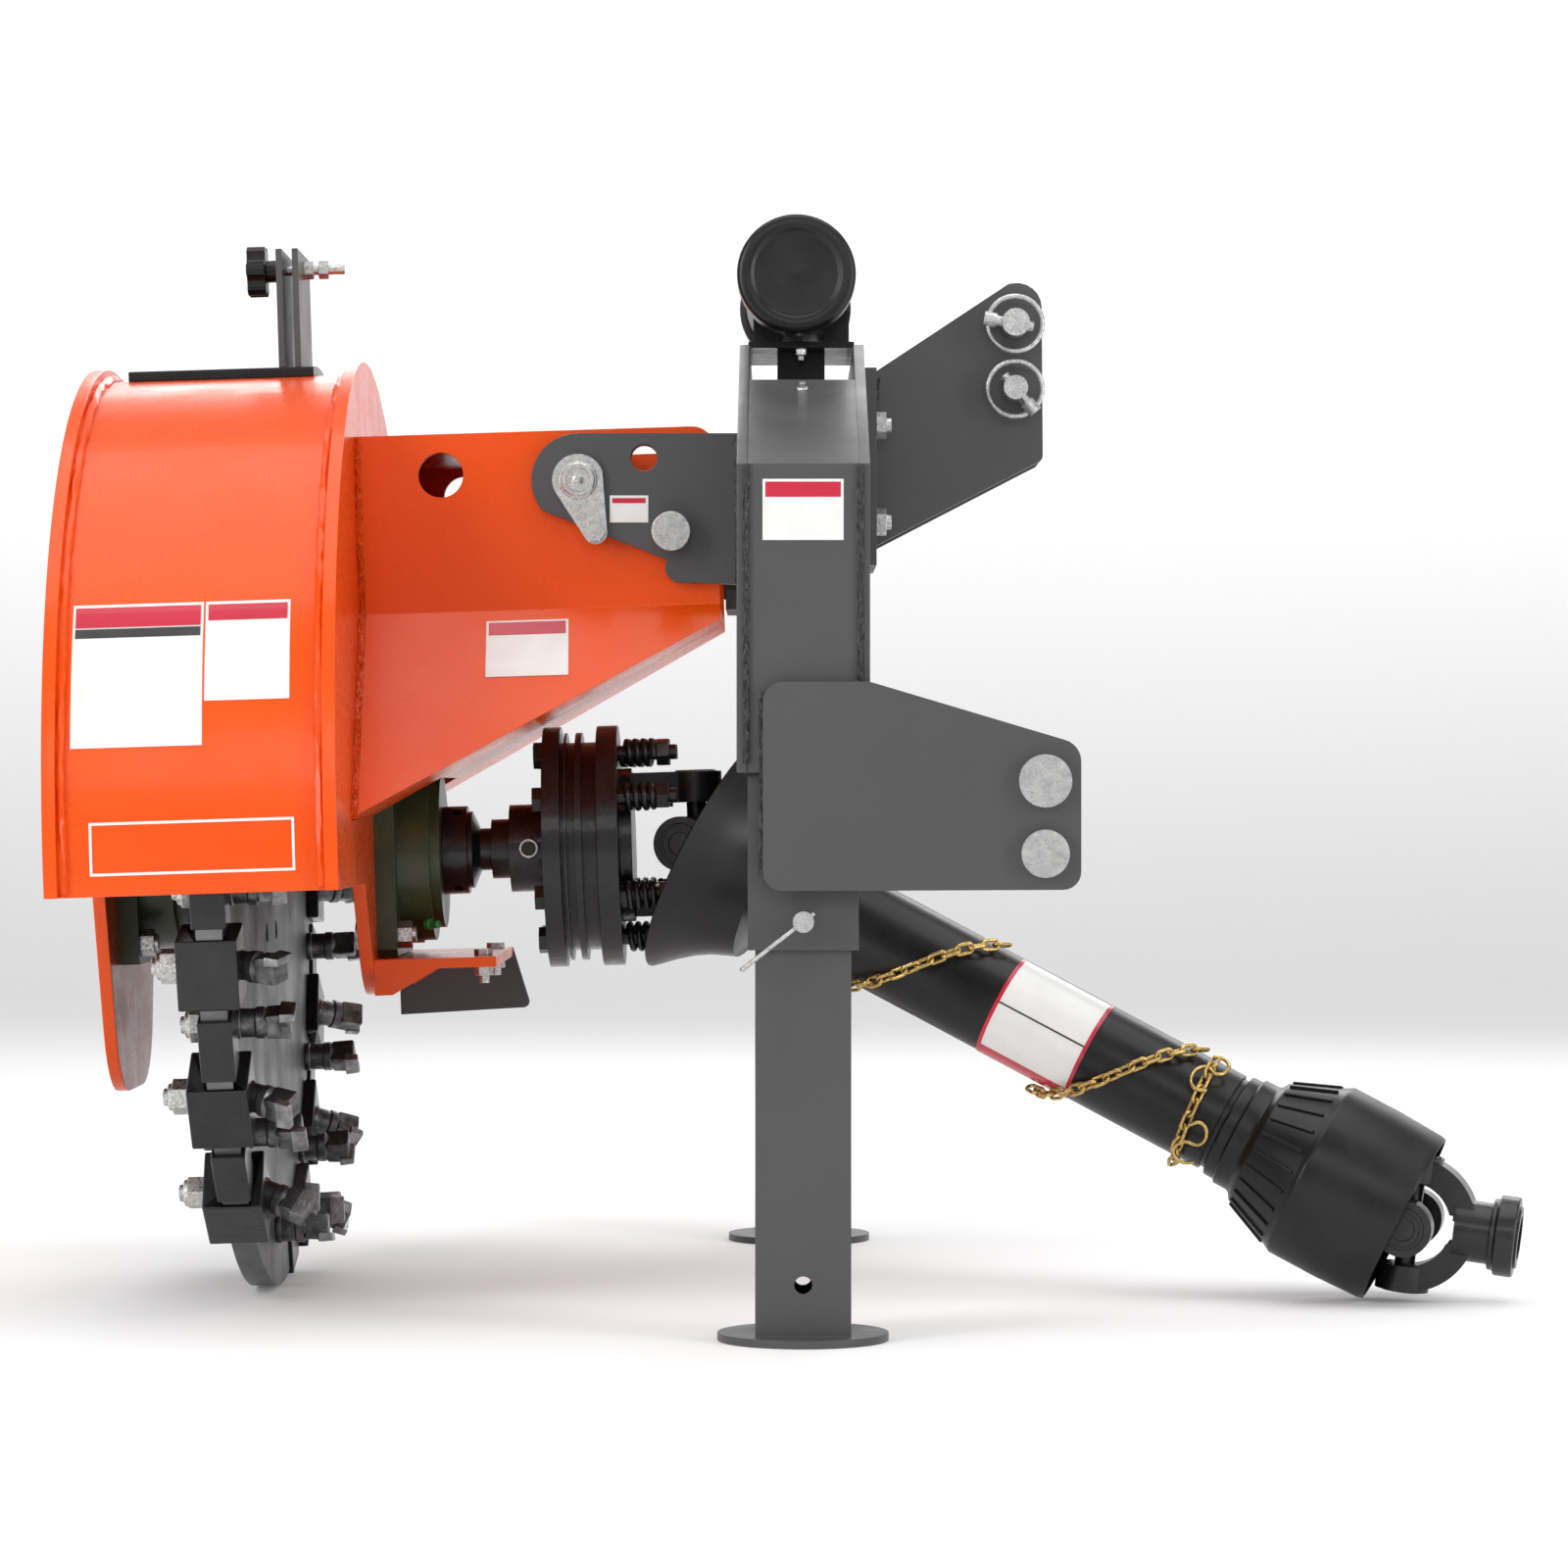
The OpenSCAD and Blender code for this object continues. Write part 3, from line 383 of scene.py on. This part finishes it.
def hexagon(name, across, x0, x1):
    """A nut or bolt head on X with its corners turned down."""
    clear()
    r = across / 2 / math.cos(math.pi / 6)
    bpy.ops.mesh.primitive_cylinder_add(
        vertices=6, radius=r * MM, depth=(x1 - x0) * MM,
        location=((x0 + x1) / 2 * MM, 0, 0), rotation=(0, math.pi / 2, 0))
    obj = begin(name)
    for end, sign in ((x1, 1), (x0, -1)):
        faces(obj, lambda c, n, end=end: abs(c.x - end) < 0.1)
        bpy.ops.mesh.inset(thickness=across * 0.08 * MM, depth=0)
        faces(obj, lambda c, n, end=end: abs(c.x - end) < 0.1 and math.hypot(c.y, c.z) < 0.2)
        bpy.ops.transform.translate(value=(sign * 0.6 * MM, 0, 0))
    return close(obj)


def bead(name, start, end, radius, seed):
    """A weld bead from start to end, rippled and a little ragged."""
    clear()
    a, b = Vector(start) * MM, Vector(end) * MM
    length = (b - a).length
    steps = max(3, round(length / (4 * MM)))
    bpy.ops.mesh.primitive_cylinder_add(vertices=8, radius=radius * MM, depth=length)
    obj = begin(name)
    bpy.ops.mesh.select_all(action="DESELECT")
    bpy.ops.object.mode_set(mode="OBJECT")
    for edge in obj.data.edges:
        ends = [obj.data.vertices[i].co.z for i in edge.vertices]
        edge.select = abs(ends[0] - ends[1]) > length / 2
    bpy.ops.object.mode_set(mode="EDIT")
    bpy.ops.mesh.select_mode(type="EDGE")
    bpy.ops.mesh.subdivide(number_cuts=steps)
    bpy.ops.mesh.select_all(action="SELECT")
    bpy.ops.transform.vertex_random(offset=radius * 0.28 * MM, seed=seed)
    close(obj)
    obj.data.transform(Matrix.Translation((a + b) / 2)
                       @ (b - a).to_track_quat("Z", "Y").to_matrix().to_4x4())
    return ease(obj, 0)


def arc_bead(name, x, r, radius, floor_z, seed):
    """A weld bead round X at radius r, kept above floor_z."""
    clear()
    bpy.ops.mesh.primitive_torus_add(
        major_radius=r * MM, minor_radius=radius * MM, major_segments=260, minor_segments=8,
        location=(x * MM, 0, 0), rotation=(0, math.pi / 2, 0))
    obj = begin(name)
    bpy.ops.mesh.select_all(action="SELECT")
    bpy.ops.transform.vertex_random(offset=radius * 0.3 * MM, seed=seed)
    bpy.ops.mesh.bisect(plane_co=(0, 0, floor_z * MM), plane_no=(0, 0, 1), clear_inner=True,
                        use_fill=True)
    close(obj)
    return ease(obj, 0)


def arc_panel(name, x0, x1, r, proud, a0, a1):
    """A sticker wrapped round X between two angles, where 0 is up and 90 the near side."""
    clear()
    bpy.ops.mesh.primitive_plane_add(
        size=1, location=((x0 + x1) / 2 * MM, 0, (r + proud / 2) * MM),
        rotation=(math.pi / 2, 0, 0))
    bpy.context.object.scale = ((x1 - x0) * MM, proud * MM, 1)
    obj = begin(name)
    bpy.ops.mesh.select_all(action="SELECT")
    bpy.ops.mesh.spin(steps=max(4, round(abs(a1 - a0) / 4)), angle=math.radians(a0 - a1),
                      center=(0, 0, 0), axis=(1, 0, 0))
    close(obj)
    obj.data.transform(turn(a0, "X"))
    return ease(obj, 0)


def joined(name, objs):
    """Joins pieces of one finish into one object."""
    only(objs[0])
    for obj in objs:
        obj.select_set(True)
    bpy.ops.object.join()
    objs[0].name = name
    return objs[0]


def copied(obj, name, place):
    """A copy with its own mesh, moved to its place."""
    only(obj)
    bpy.ops.object.duplicate()
    twin = bpy.context.object
    twin.name = name
    twin.data.transform(place)
    if place.determinant() < 0:
        twin.data.flip_normals()
    return twin


def done(obj, body, material, slot, *nodes, place=LEVEL):
    """Gives a piece its place, finish and body, and hides the nodes it stands for."""
    if place is not LEVEL:
        obj.data.transform(place)
    obj.data.materials.clear()
    obj.data.materials.append(material)
    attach(obj, body)
    if nodes:
        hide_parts(*nodes)
    return obj


def dressed(node, material, slot, width, segments=2):
    """A copy of a CAD node with its edges rounded, which stands for it."""
    source = frame["nodes"][node]
    obj = bpy.data.objects.new(node + "_dressed", source.data.copy())
    bpy.context.scene.collection.objects.link(obj)
    only(obj)
    bpy.ops.object.mode_set(mode="EDIT")
    bpy.ops.mesh.select_all(action="SELECT")
    bpy.ops.mesh.remove_doubles(threshold=0.00001)
    bpy.ops.mesh.dissolve_limited(angle_limit=math.radians(0.5))
    bpy.ops.object.mode_set(mode="OBJECT")
    ease(obj, width, segments)
    return done(obj, source["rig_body"], material, slot, node)


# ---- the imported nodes, with their edges eased ----

DRESS = [
    (GREY, "grey_paint", 1.0, "rear_portal_plate front_portal_plate outer_web inner_web"),
    (GREY, "grey_paint", 1.4, "leg_sleeves near_leg far_leg curtain_bars"),
    (GREY, "grey_paint", 1.5, "lower_link_plates top_link_bracket pivot_ears"),
    (ZINC, "zinc", 1.0, "lower_link_pins top_link_pins pivot_pin pivot_keeper frame_bolts"),
    (ZINC, "zinc", 0.9, "near_tilt_pin far_tilt_pin head_bolts curtain_bolt"),
    (RUBBER, "rubber", 1.5, "bump_stop"),
    (BLACK_PLATE, "black_steel", 0.8, "manual_bracket hood_strip"),
    (ORANGE, "orange_paint", 1.6, "hood_outer_plate hood_inner_plate"),
    (ORANGE, "orange_paint", 1.0, "boom_near_plate boom_far_plate boom_top_plate"),
    (ORANGE, "orange_paint", 1.0, "boom_bottom_plate boom_bushes flap_bracket hood_shell"),
    (GREY, "grey_paint", 0.8, "debris_flap"),
    (GREEN, "green_casting", 2.5, "axle_bearings"),
    (BLACK, "black_steel", 1.2, "clutch_plates clutch_bolts bearing_collars clutch_hub"),
    (BLACK, "black_steel", 2.5, "clutch_flange_yoke"),
    (BLACK, "black_steel", 1.2, "inner_shaft outer_shaft first_cross second_cross"),
    (BLACK, "black_steel", 2.0, "end_yoke lock_collar"),
    (DISC_STEEL, "dark_steel", 1.2, "cutter_disc cutter_shaft"),
    (BLACK, "black_steel", 1.6, "tooth_holders"),
    (PLASTIC, "black_plastic", 2.2, "curtain_knob"),
]
for material, slot, width, names in DRESS:
    for node in names.split():
        dressed(node, material, slot, width)
for node, material in (("lynch_pins", ZINC), ("near_leg_pin", ZINC), ("far_leg_pin", ZINC),
                       ("near_chain", GOLD_ZINC), ("far_chains", GOLD_ZINC)):
    slot = "zinc" if material is ZINC else "yellow_zinc"
    dressed(node, material, slot, 0)


# ---- cutter teeth and their nuts ----

tooth = turned("tooth", [
    (0, 0), (0, 11.0), (1, 12.1), (3.5, 12.1), (4.6, 11.0), (15, 11.0), (16.5, 12.2),
    (22, 12.2), (23.5, 10.4), (25, 9.4), (25, 0)], 32)
ease(tooth, 0)
head = block("tooth_head", (23, -11.6, -11.6), (42, 11.6, 11.6))
faces(head, lambda c, n: n.x < -0.9)
bpy.ops.transform.resize(value=(1, 0.84, 0.84))
faces(head, lambda c, n: n.x > 0.9)
bpy.ops.transform.resize(value=(1, 0.86, 0.92))
faces(head, lambda c, n: n.z > 0.7)
bpy.ops.mesh.inset(thickness=4.0 * MM, depth=-1.4 * MM)
close(head)
ease(head, 2.0)
tooth = joined("tooth", [tooth, head])

tip = block("carbide", (34, -11.9, -12), (45.8, 11.9, -4.5))
faces(tip, lambda c, n: n.x > 0.9)
bpy.ops.transform.resize(value=(1, 0.9, 0.8))
close(tip)
ease(tip, 1.0)

nut = hexagon("nyloc_nut", 24, 0, 14)
crown = turned("nyloc_crown", [
    (13.6, 10.6), (17, 10.2), (18, 8.2), (18, 6.8), (14, 6.8), (13.6, 10.6)], 24)
stud = turned("nut_stud", [(0, 0), (0, 6.6), (20.6, 6.6), (21.4, 5.8), (21.4, 0)], 20)
nut = joined("nyloc_nut", [ease(nut, 0.6), ease(crown, 0), ease(stud, 0)])


def station(i):
    """The place of tooth i, on the disc's middle plane at the holders' radius."""
    return AXLE @ turn(PHASE + i * 360 / STATIONS, "X") @ shift(DISC_U, HOLDER_R)


# Wide holders with leaning teeth stand half a station on, in groups of four out of six.
for i in range(STATIONS):
    spots = [("straight", station(i) @ shift(DISC_T / 2), station(i) @ shift(-DISC_T / 2))]
    if i % 6 < 4:
        low, high = SADDLE_U
        spots.append(("leaning", station(i + 0.5) @ shift(high - 6, 16) @ turn(TOOTH_LEAN, "Z"),
                      station(i + 0.5) @ shift(low, 16)))
    for kind, seat, back in spots:
        seat = seat @ turn(90 * ((i + (kind == "leaning")) % 2), "X")
        number = f"{kind}_{i + 1:02d}"
        one = copied(tooth, "tooth_" + number, seat)
        done(one, "rotor", TOOTH_STEEL, "tooth_steel",
             *(["cutter_teeth"] if number == "straight_01" else []))
        done(copied(tip, "carbide_" + number, seat), "rotor", CARBIDE, "tooth_steel")
        done(copied(nut, "nyloc_nut_" + number, back @ turn(180, "Z")), "rotor", ZINC, "zinc")
for pattern in (tooth, tip, nut):
    bpy.data.objects.remove(pattern)


# ---- clutch springs ----

SPRING_R = 9.2
SPRING_WIRE = 2.55
SPRING_PITCH = 6.5

clear()
bpy.ops.mesh.primitive_circle_add(vertices=12, radius=SPRING_WIRE * MM,
                                  location=(0, 0, SPRING_R * MM))
spring = begin("spring")
bpy.ops.mesh.select_all(action="SELECT")
bpy.ops.transform.rotate(value=math.pi / 2, orient_axis="X",
                         center_override=(0, 0, SPRING_R * MM))
bpy.ops.object.mode_set(mode="OBJECT")
only(spring)
coil = spring.modifiers.new("coil", "SCREW")
coil.axis = "X"
coil.steps = coil.render_steps = 22
coil.screw_offset = SPRING_PITCH * MM
coil.iterations = 4
bpy.ops.object.modifier_apply(modifier=coil.name)
bpy.ops.object.mode_set(mode="EDIT")
bpy.ops.mesh.select_all(action="SELECT")
bpy.ops.mesh.fill_holes(sides=12)
close(spring)
ease(spring, 0)
for number, angle in enumerate(BOLT_ANGLES, 1):
    one = copied(spring, f"clutch_spring_{number}",
                 AXLE @ turn(angle, "X") @ shift(SPRING_SEAT + 2.8, BOLT_R))
    done(one, "head", BLACK, "black_steel", *(["clutch_springs"] if number == 1 else []))
bpy.data.objects.remove(spring)


# ---- joint bearing caps ----

cap = turned("joint_cap", [
    (0, 0), (0.2, 9), (1.0, 9.6), (1.0, 12.6), (0.4, 12.8), (0.4, 14), (1.1, 14.2),
    (1.1, 16), (0.2, 16.6), (-1, 16.6), (-1, 0)], 40)
ease(cap, 0)
CAPS = (
    ("clutch_yoke_cap", "head", AXLE @ shift(JOINT_U), JOINT_ARM, "Z"),
    ("inner_yoke_cap", "inner_shaft", SHAFT, JOINT_ARM, "Y"),
    ("outer_yoke_cap", "outer_shaft", SHAFT @ shift(SHAFT_L), JOINT_ARM, "Y"),
    ("end_yoke_cap", "end_yoke", END, END_ARM, "Z"))
for name, body, place, arm, axis in CAPS:
    for side in (1, -1):
        aim = turn(-90 * side, "Y") if axis == "Z" else turn(90 * side, "Z")
        one = copied(cap, f"{name}_{'a' if side > 0 else 'b'}", place @ aim @ shift(arm))
        done(one, body, BLACK, "black_steel")
bpy.data.objects.remove(cap)


# ---- guards of the driveshaft ----

near_bell = turned("near_guard", [
    (480, 38.7), (480, 40.6), (479.6, 41), (90, 41), (84, 43.5), (77, 48), (72, 66.5), (66, 69),
    (52, 75), (40, 82.5), (28, 92), (18, 101.5), (13.2, 105.8), (12.2, 104.6), (16, 100),
    (27, 90.3), (39, 80.7), (51, 73), (65, 67), (70, 64.6), (74, 40), (104, 38.7),
    (104, 30.4), (118, 30.4), (118, 38.7), (480, 38.7)], 96)
ease(near_bell, 0)
done(near_bell, "near_shield", PLASTIC, "black_plastic", "near_shield", place=SHAFT)

far_bell = turned("far_guard", [
    (484, 38.3), (485.5, 42.4), (487, 43), (494, 43), (496, 45.5), (507, 45.5), (510, 47),
    (513, 51.5), (515, 53), (553, 69), (557, 71.2), (560, 72.9), (600, 72.9), (637, 71.3),
    (641, 70.2), (641, 68), (600, 70), (562, 70), (558, 66.6), (519, 50.4), (515, 44),
    (512, 35.9), (240, 35.9), (240, 38.1), (484, 38.3)], 96)
ease(far_bell, 0)
RIBS = 24
RIB_X = 516
RIB_SLOPE = math.degrees(math.atan2(16, 38))
rib = block("guard_rib", (RIB_X, -1.4, -1), (555, 1.4, 2.6))
close(rib)
ribs = []
for k in range(RIBS):
    place = (turn(k * 360 / RIBS, "X") @ shift(RIB_X, 0, 52.6) @ turn(-RIB_SLOPE, "Y")
             @ shift(-RIB_X))
    ribs.append(copied(rib, f"rib_{k}", place))
bpy.data.objects.remove(rib)
ribs = joined("far_guard_ribs", ribs)
ease(ribs, 0.6)
done(ribs, "far_shield", PLASTIC, "black_plastic", place=SHAFT)
done(far_bell, "far_shield", PLASTIC, "black_plastic", "far_shield", place=SHAFT)


# ---- manual holder ----

tube = turned("manual_tube_body", [
    (-136, 37.9), (-136, 40.2), (-135.4, 40.8), (128, 40.8), (131, 42), (132, 46), (133, 46.5),
    (148, 46.5), (150, 44.5), (150, 0), (140, 0), (140, 37.9), (-136, 37.9)], 72)
ease(tube, 0)
done(tube, "frame", PLASTIC, "black_plastic", "manual_tube", place=MANUAL)
lid = turned("manual_lid_body", [
    (-148.2, 0), (-147.6, 1.5), (-147.2, 12), (-147.2, 31), (-147.9, 33.5), (-149.3, 35),
    (-150, 37.5), (-150, 41), (-149.4, 44), (-147.6, 46.0), (-145, 46.5), (-118, 46.5),
    (-116, 45.4), (-116, 41.3), (-145.8, 41.3), (-145.8, 0)], 72)
ease(lid, 0)
done(lid, "manual_lid", PLASTIC, "black_plastic", "manual_lid", place=MANUAL)


# ---- welds ----

hood_beads = [
    arc_bead("bead_outer", SHELL_U[0] + 2.5, SHELL_R + 1.2, 4.0, -SKIRT + 3, 1),
    arc_bead("bead_inner", SHELL_U[1] - 2.5, SHELL_R + 1.2, 4.0, -SKIRT + 3, 2)]
for obj in hood_beads:
    obj.data.transform(AXLE)
for side in (1, -1):
    u, y = HOOD_U + 1.5, side * (BOOM_Y + 1)
    top, fold = (u, y, 38), (u, y, FOLD_W)
    low = (u, y + side * (FOLD_W - BOOM_LOW) * FLARE, BOOM_LOW)
    for a, b, seed in ((top, fold, 3), (fold, low, 4)):
        one = bead("bead_boom", a, b, 3.2, seed)
        one.data.transform(HEAD)
        hood_beads.append(one)
done(joined("head_welds", hood_beads), "head", ORANGE, "orange_paint")

frame_beads = []
FRAME_BEADS = (
    ((-49, 160.5, 561), (-49, 160.5, 676), 2.8),
    ((-49, 149.5, 561), (-49, 149.5, 676), 2.8),
    ((-40, 430.5, 413), (40, 430.5, 413), 2.6),
    ((-29, 441, 340), (-29, 441, 470), 2.6),
    ((53, 39, 600), (61, 39, 730), 2.4),
    ((-41, 441, 420), (-41, 441, 634), 2.2),
    ((41, 441, 480), (41, 441, 634), 2.2))
for side in (1, -1):
    for a, b, r in FRAME_BEADS:
        start, end = (a[0], a[1] * side, a[2]), (b[0], b[1] * side, b[2])
        frame_beads.append(bead("bead_frame", start, end, r, len(frame_beads) + 5))
done(joined("frame_welds", frame_beads), "frame", GREY, "grey_paint")


# ---- blank stickers ----

def sticker(name, body, place, x0, x1, z0, z1, y, band):
    """A flat sticker facing the near side, with a coloured band along its top."""
    sheet = block(name, (x0, y - 0.5, z0), (x1, y, z1))
    faces(sheet, lambda c, n: n.y < -0.9)
    bpy.ops.mesh.inset(thickness=0.8 * MM, depth=0.15 * MM)
    close(sheet)
    done(ease(sheet, 0.2, 1), body, LABEL_WHITE, "zinc", place=place)
    stripe = block(name + "_band", (x0 + 2, y - 0.9, z1 - band), (x1 - 2, y - 0.3, z1 - 2))
    close(stripe)
    done(ease(stripe, 0.2, 1), body, LABEL_RED, "orange_paint", place=place)


def arc_sticker(name, body, place, x0, x1, r, a0, a1, band):
    """A sticker wrapped round X, with its band along the edge at the first angle."""
    sheet = arc_panel(name, x0, x1, r, 0.5, a0, a1)
    done(sheet, body, LABEL_WHITE, "zinc", place=place)
    stripe = arc_panel(name + "_band", x0 + 2, x1 - 2, r + 0.2, 0.7, a0 + 0.4, a0 + band)
    done(stripe, body, LABEL_RED, "orange_paint", place=place)


arc_sticker("hood_label_large", "head", AXLE, -369, -272.6, SHELL_R, 60, 77, 2.9)
arc_sticker("hood_label_small", "head", AXLE, -271, -208.5, SHELL_R, 60, 72, 2.4)
rule = arc_panel("hood_label_rule", -367, -274.6, SHELL_R + 0.2, 0.6, 63.1, 64.2)
done(rule, "head", LABEL_DARK, "black_steel", place=AXLE)
rims = [arc_panel("hood_name_frame", *ends) for ends in (
    (-356, -206, SHELL_R, 0.5, 85.2, 85.5), (-356, -206, SHELL_R, 0.5, 90.7, 91.0),
    (-356, -354, SHELL_R, 0.5, 85.4, 90.8), (-208, -206, SHELL_R, 0.5, 85.4, 90.8))]
done(joined("hood_name_frame", rims), "head", LABEL_WHITE, "zinc", place=AXLE)

FLARED = HEAD @ shift(0, -BOOM_Y, FOLD_W) @ turn(-math.degrees(math.atan(FLARE)), "X")
sticker("boom_label", "head", FLARED, -75, -11, -68, -11, -0.2, 15)
sticker("ear_label", "frame", LEVEL, -149, -119, 608, 629, -EAR_Y - 0.1, 6)
sticker("post_label", "frame", LEVEL, -29.3, 29, 580, 624, -POST_Y - 0.1, 13)

sheet = arc_panel("shaft_label", 281, 363, TUBE_R, 0.5, 8, 168)
done(sheet, "near_shield", LABEL_WHITE, "zinc", place=SHAFT)
for name, x0, x1, a0 in (("left", 281, 284, 8), ("right", 360, 363, 8), ("band", 283, 361, 140)):
    edge = arc_panel("shaft_label_" + name, x0, x1, TUBE_R + 0.2, 0.6, a0, 168)
    done(edge, "near_shield", LABEL_RED, "orange_paint", place=SHAFT)
done(arc_panel("shaft_label_rule", 284, 360, TUBE_R + 0.2, 0.5, 80, 82), "near_shield",
     LABEL_DARK, "black_steel", place=SHAFT)


# ---- small fittings ----

nipple = turned("near_bearing_nipple", [
    (0, 0), (0, 4.6), (4, 4.6), (5, 3.2), (8, 2.6), (10, 3.4), (12, 3.0), (13, 0)], 20)
ease(nipple, 0)
done(nipple, "head", CAP_GREEN, "green_casting",
     place=AXLE @ shift(-136, -50, -58) @ turn(-40, "Z"))

ring = turned("hub_pin_ring", [
    (-3, 5.6), (0.8, 5.6), (1.2, 6.0), (1.2, 7.4), (0.8, 7.8), (-3, 7.8), (-3, 5.6)], 32)
ease(ring, 0)
done(ring, "rotor", ZINC, "zinc", place=AXLE @ shift(-54, -38) @ turn(-90, "Z"))

rim = turned("pivot_pin_rim", [
    (-1, 9), (0.4, 9), (1, 9.6), (1, 12.4), (0.2, 13.4), (-1, 13.4), (-1, 9)], 40)
ease(rim, 0)
fitting = turned("pivot_nipple", [
    (-6, 0), (-6, 4.2), (0, 4.2), (0.6, 3.0), (2, 2.4), (3, 3.0), (4, 2.6), (4.6, 0)], 20)
ease(fitting, 0)
for name, side in (("near", -1), ("far", 1)):
    place = shift(PIVOT_X, side * 167, PIVOT_Z) @ turn(90 * side, "Z")
    done(copied(rim, f"pivot_{name}_rim", place), "frame", ZINC, "zinc")
    done(copied(fitting, f"pivot_{name}_nipple", place), "frame", ZINC, "zinc")
for pattern in (rim, fitting):
    bpy.data.objects.remove(pattern)

screw = ease(hexagon("saddle_screw", 8, 0, 5), 0.3)
stem = ease(turned("saddle_stem", [(0, 0), (0, 2.5), (9, 2.5), (9.6, 2), (9.6, 0)], 16), 0)
screw = joined("saddle_screw", [screw, stem])
SHOULDER_SLOPE = math.degrees(math.atan2(76, 185))
for name, side in (("near", -1), ("far", 1)):
    on_saddle = shift(0, side * 72, 751) @ turn(90, "Y")
    on_slope = (shift(0, side * 275, 703) @ turn(-SHOULDER_SLOPE * side, "X")
                @ turn(-90, "Y") @ shift(-5))
    done(copied(screw, f"{name}_saddle_screw", on_saddle), "frame", ZINC, "zinc")
    done(copied(screw, f"{name}_slope_screw", on_slope), "frame", ZINC, "zinc")
bpy.data.objects.remove(screw)


def hook(name, body, points):
    """An S-hook of 3 mm wire through points of the shaft's frame, in millimetres."""
    clear()
    bpy.ops.curve.primitive_bezier_curve_add(location=(0, 0, 0))
    obj = bpy.context.object
    obj.name = name
    spline = obj.data.splines[0]
    spline.bezier_points.add(len(points) - len(spline.bezier_points))
    for knot, point in zip(spline.bezier_points, points):
        knot.co = Vector(point) * MM
        knot.handle_left_type = knot.handle_right_type = "AUTO"
    obj.data.dimensions = "3D"
    obj.data.bevel_depth = 1.5 * MM
    obj.data.bevel_resolution = 3
    obj.data.resolution_u = 8
    obj.data.use_fill_caps = True
    bpy.ops.object.convert(target="MESH")
    done(ease(bpy.context.object, 0), body, GOLD_ZINC, "yellow_zinc", place=SHAFT)


hook("shaft_hook", "far_shield", [
    (452, -22, 45), (462, -20, 47), (468, -28, 42), (462, -36, 36), (452, -34, 37),
    (446, -42, 28), (452, -49, 20), (462, -47, 22)])
hook("collar_hook", "far_shield", [
    (462, -50, -8), (470, -50, -2), (478, -50, -8), (476, -47, -18), (464, -46, -22),
    (460, -42, -32), (468, -38, -38), (478, -37, -34)])


# ---- floor, light and camera ----

def studio_floor(width=24, depth=16, height=9, sweep=3.0):
    """A white floor that curves up into a wall at the far side, in metres."""
    clear()
    bpy.ops.mesh.primitive_plane_add(size=1, location=(0, 0, 0))
    bpy.context.object.scale = (width, depth, 1)
    obj = begin("studio_floor")
    bpy.ops.object.mode_set(mode="OBJECT")
    for edge in obj.data.edges:
        edge.select = all(obj.data.vertices[i].co.y > 0 for i in edge.vertices)
    for vertex in obj.data.vertices:
        vertex.select = vertex.co.y > 0
    for face in obj.data.polygons:
        face.select = False
    bpy.ops.object.mode_set(mode="EDIT")
    bpy.ops.mesh.select_mode(type="EDGE")
    bpy.ops.mesh.extrude_region_move(TRANSFORM_OT_translate={"value": (0, 0, height)})
    bpy.ops.object.mode_set(mode="OBJECT")
    modifier = obj.modifiers.new("sweep", "BEVEL")
    modifier.width = sweep
    modifier.segments = 24
    bpy.ops.object.modifier_apply(modifier=modifier.name)
    bpy.ops.object.shade_smooth()
    paint = Paint("studio_paper", Emission_Strength=0.6)
    tone = paint.noise(0.8, 2.0)
    paint.set(Base_Color=paint.mix(tone, (0.90, 0.90, 0.90), (0.93, 0.93, 0.93)))
    paint.set(Roughness=tone * 0.1 + 0.8)
    rise = paint.node("ShaderNodeSeparateXYZ", {}, {"Vector": paint.place}, "Z")
    glow = paint.spread(rise, -0.2, 1.4)
    paint.set(Emission_Color=paint.mix(glow, (0.0, 0.0, 0.0), (1.0, 1.0, 1.0)))
    obj.data.materials.append(paint.material)


def lamp(name, watts, size, location, target):
    """A softbox of the given width and height that points at the target."""
    clear()
    bpy.ops.object.light_add(type="AREA", location=location)
    light = bpy.context.object
    light.name = name
    light.data.energy = watts
    light.data.shape = "RECTANGLE"
    light.data.size, light.data.size_y = size
    light.rotation_euler = (Vector(target) - Vector(location)).to_track_quat("-Z", "Y").to_euler()


studio_floor()
lamp("overhead", 72, (4.0, 3.0), (0, -0.4, 3.4), (0, 0, 0.3))
lamp("left_key", 50, (1.0, 2.2), (-2.6, -2.6, 1.5), (-0.1, 0, 0.45))
lamp("right_fill", 40, (1.0, 2.2), (2.9, -2.2, 1.2), (0.1, 0, 0.35))
lamp("front_fill", 24, (3.0, 1.0), (0.2, -4.4, 2.2), (0, 0, 0.35))
lamp("back_rim", 30, (3.0, 1.2), (0.4, 3.0, 2.2), (0, 0, 0.4))

world = bpy.data.worlds.new("studio")
bpy.context.scene.world = world
world.use_nodes = True
world.node_tree.nodes["Background"].inputs["Color"].default_value = (1, 1, 1, 1)
world.node_tree.nodes["Background"].inputs["Strength"].default_value = 0.38

camera = bpy.data.cameras.new("camera")
camera_object = bpy.data.objects.new("camera", camera)
bpy.context.scene.collection.objects.link(camera_object)
camera_object.location = (-0.016, -3.889, 0.402)
camera_object.rotation_euler = (math.pi / 2, 0, 0)
camera.sensor_width = 36
camera.lens = 110.25
camera.shift_x = 0.0019
camera.shift_y = 0.0025
camera.clip_end = 100
bpy.context.scene.camera = camera_object
bpy.context.scene.view_settings.view_transform = "Standard"
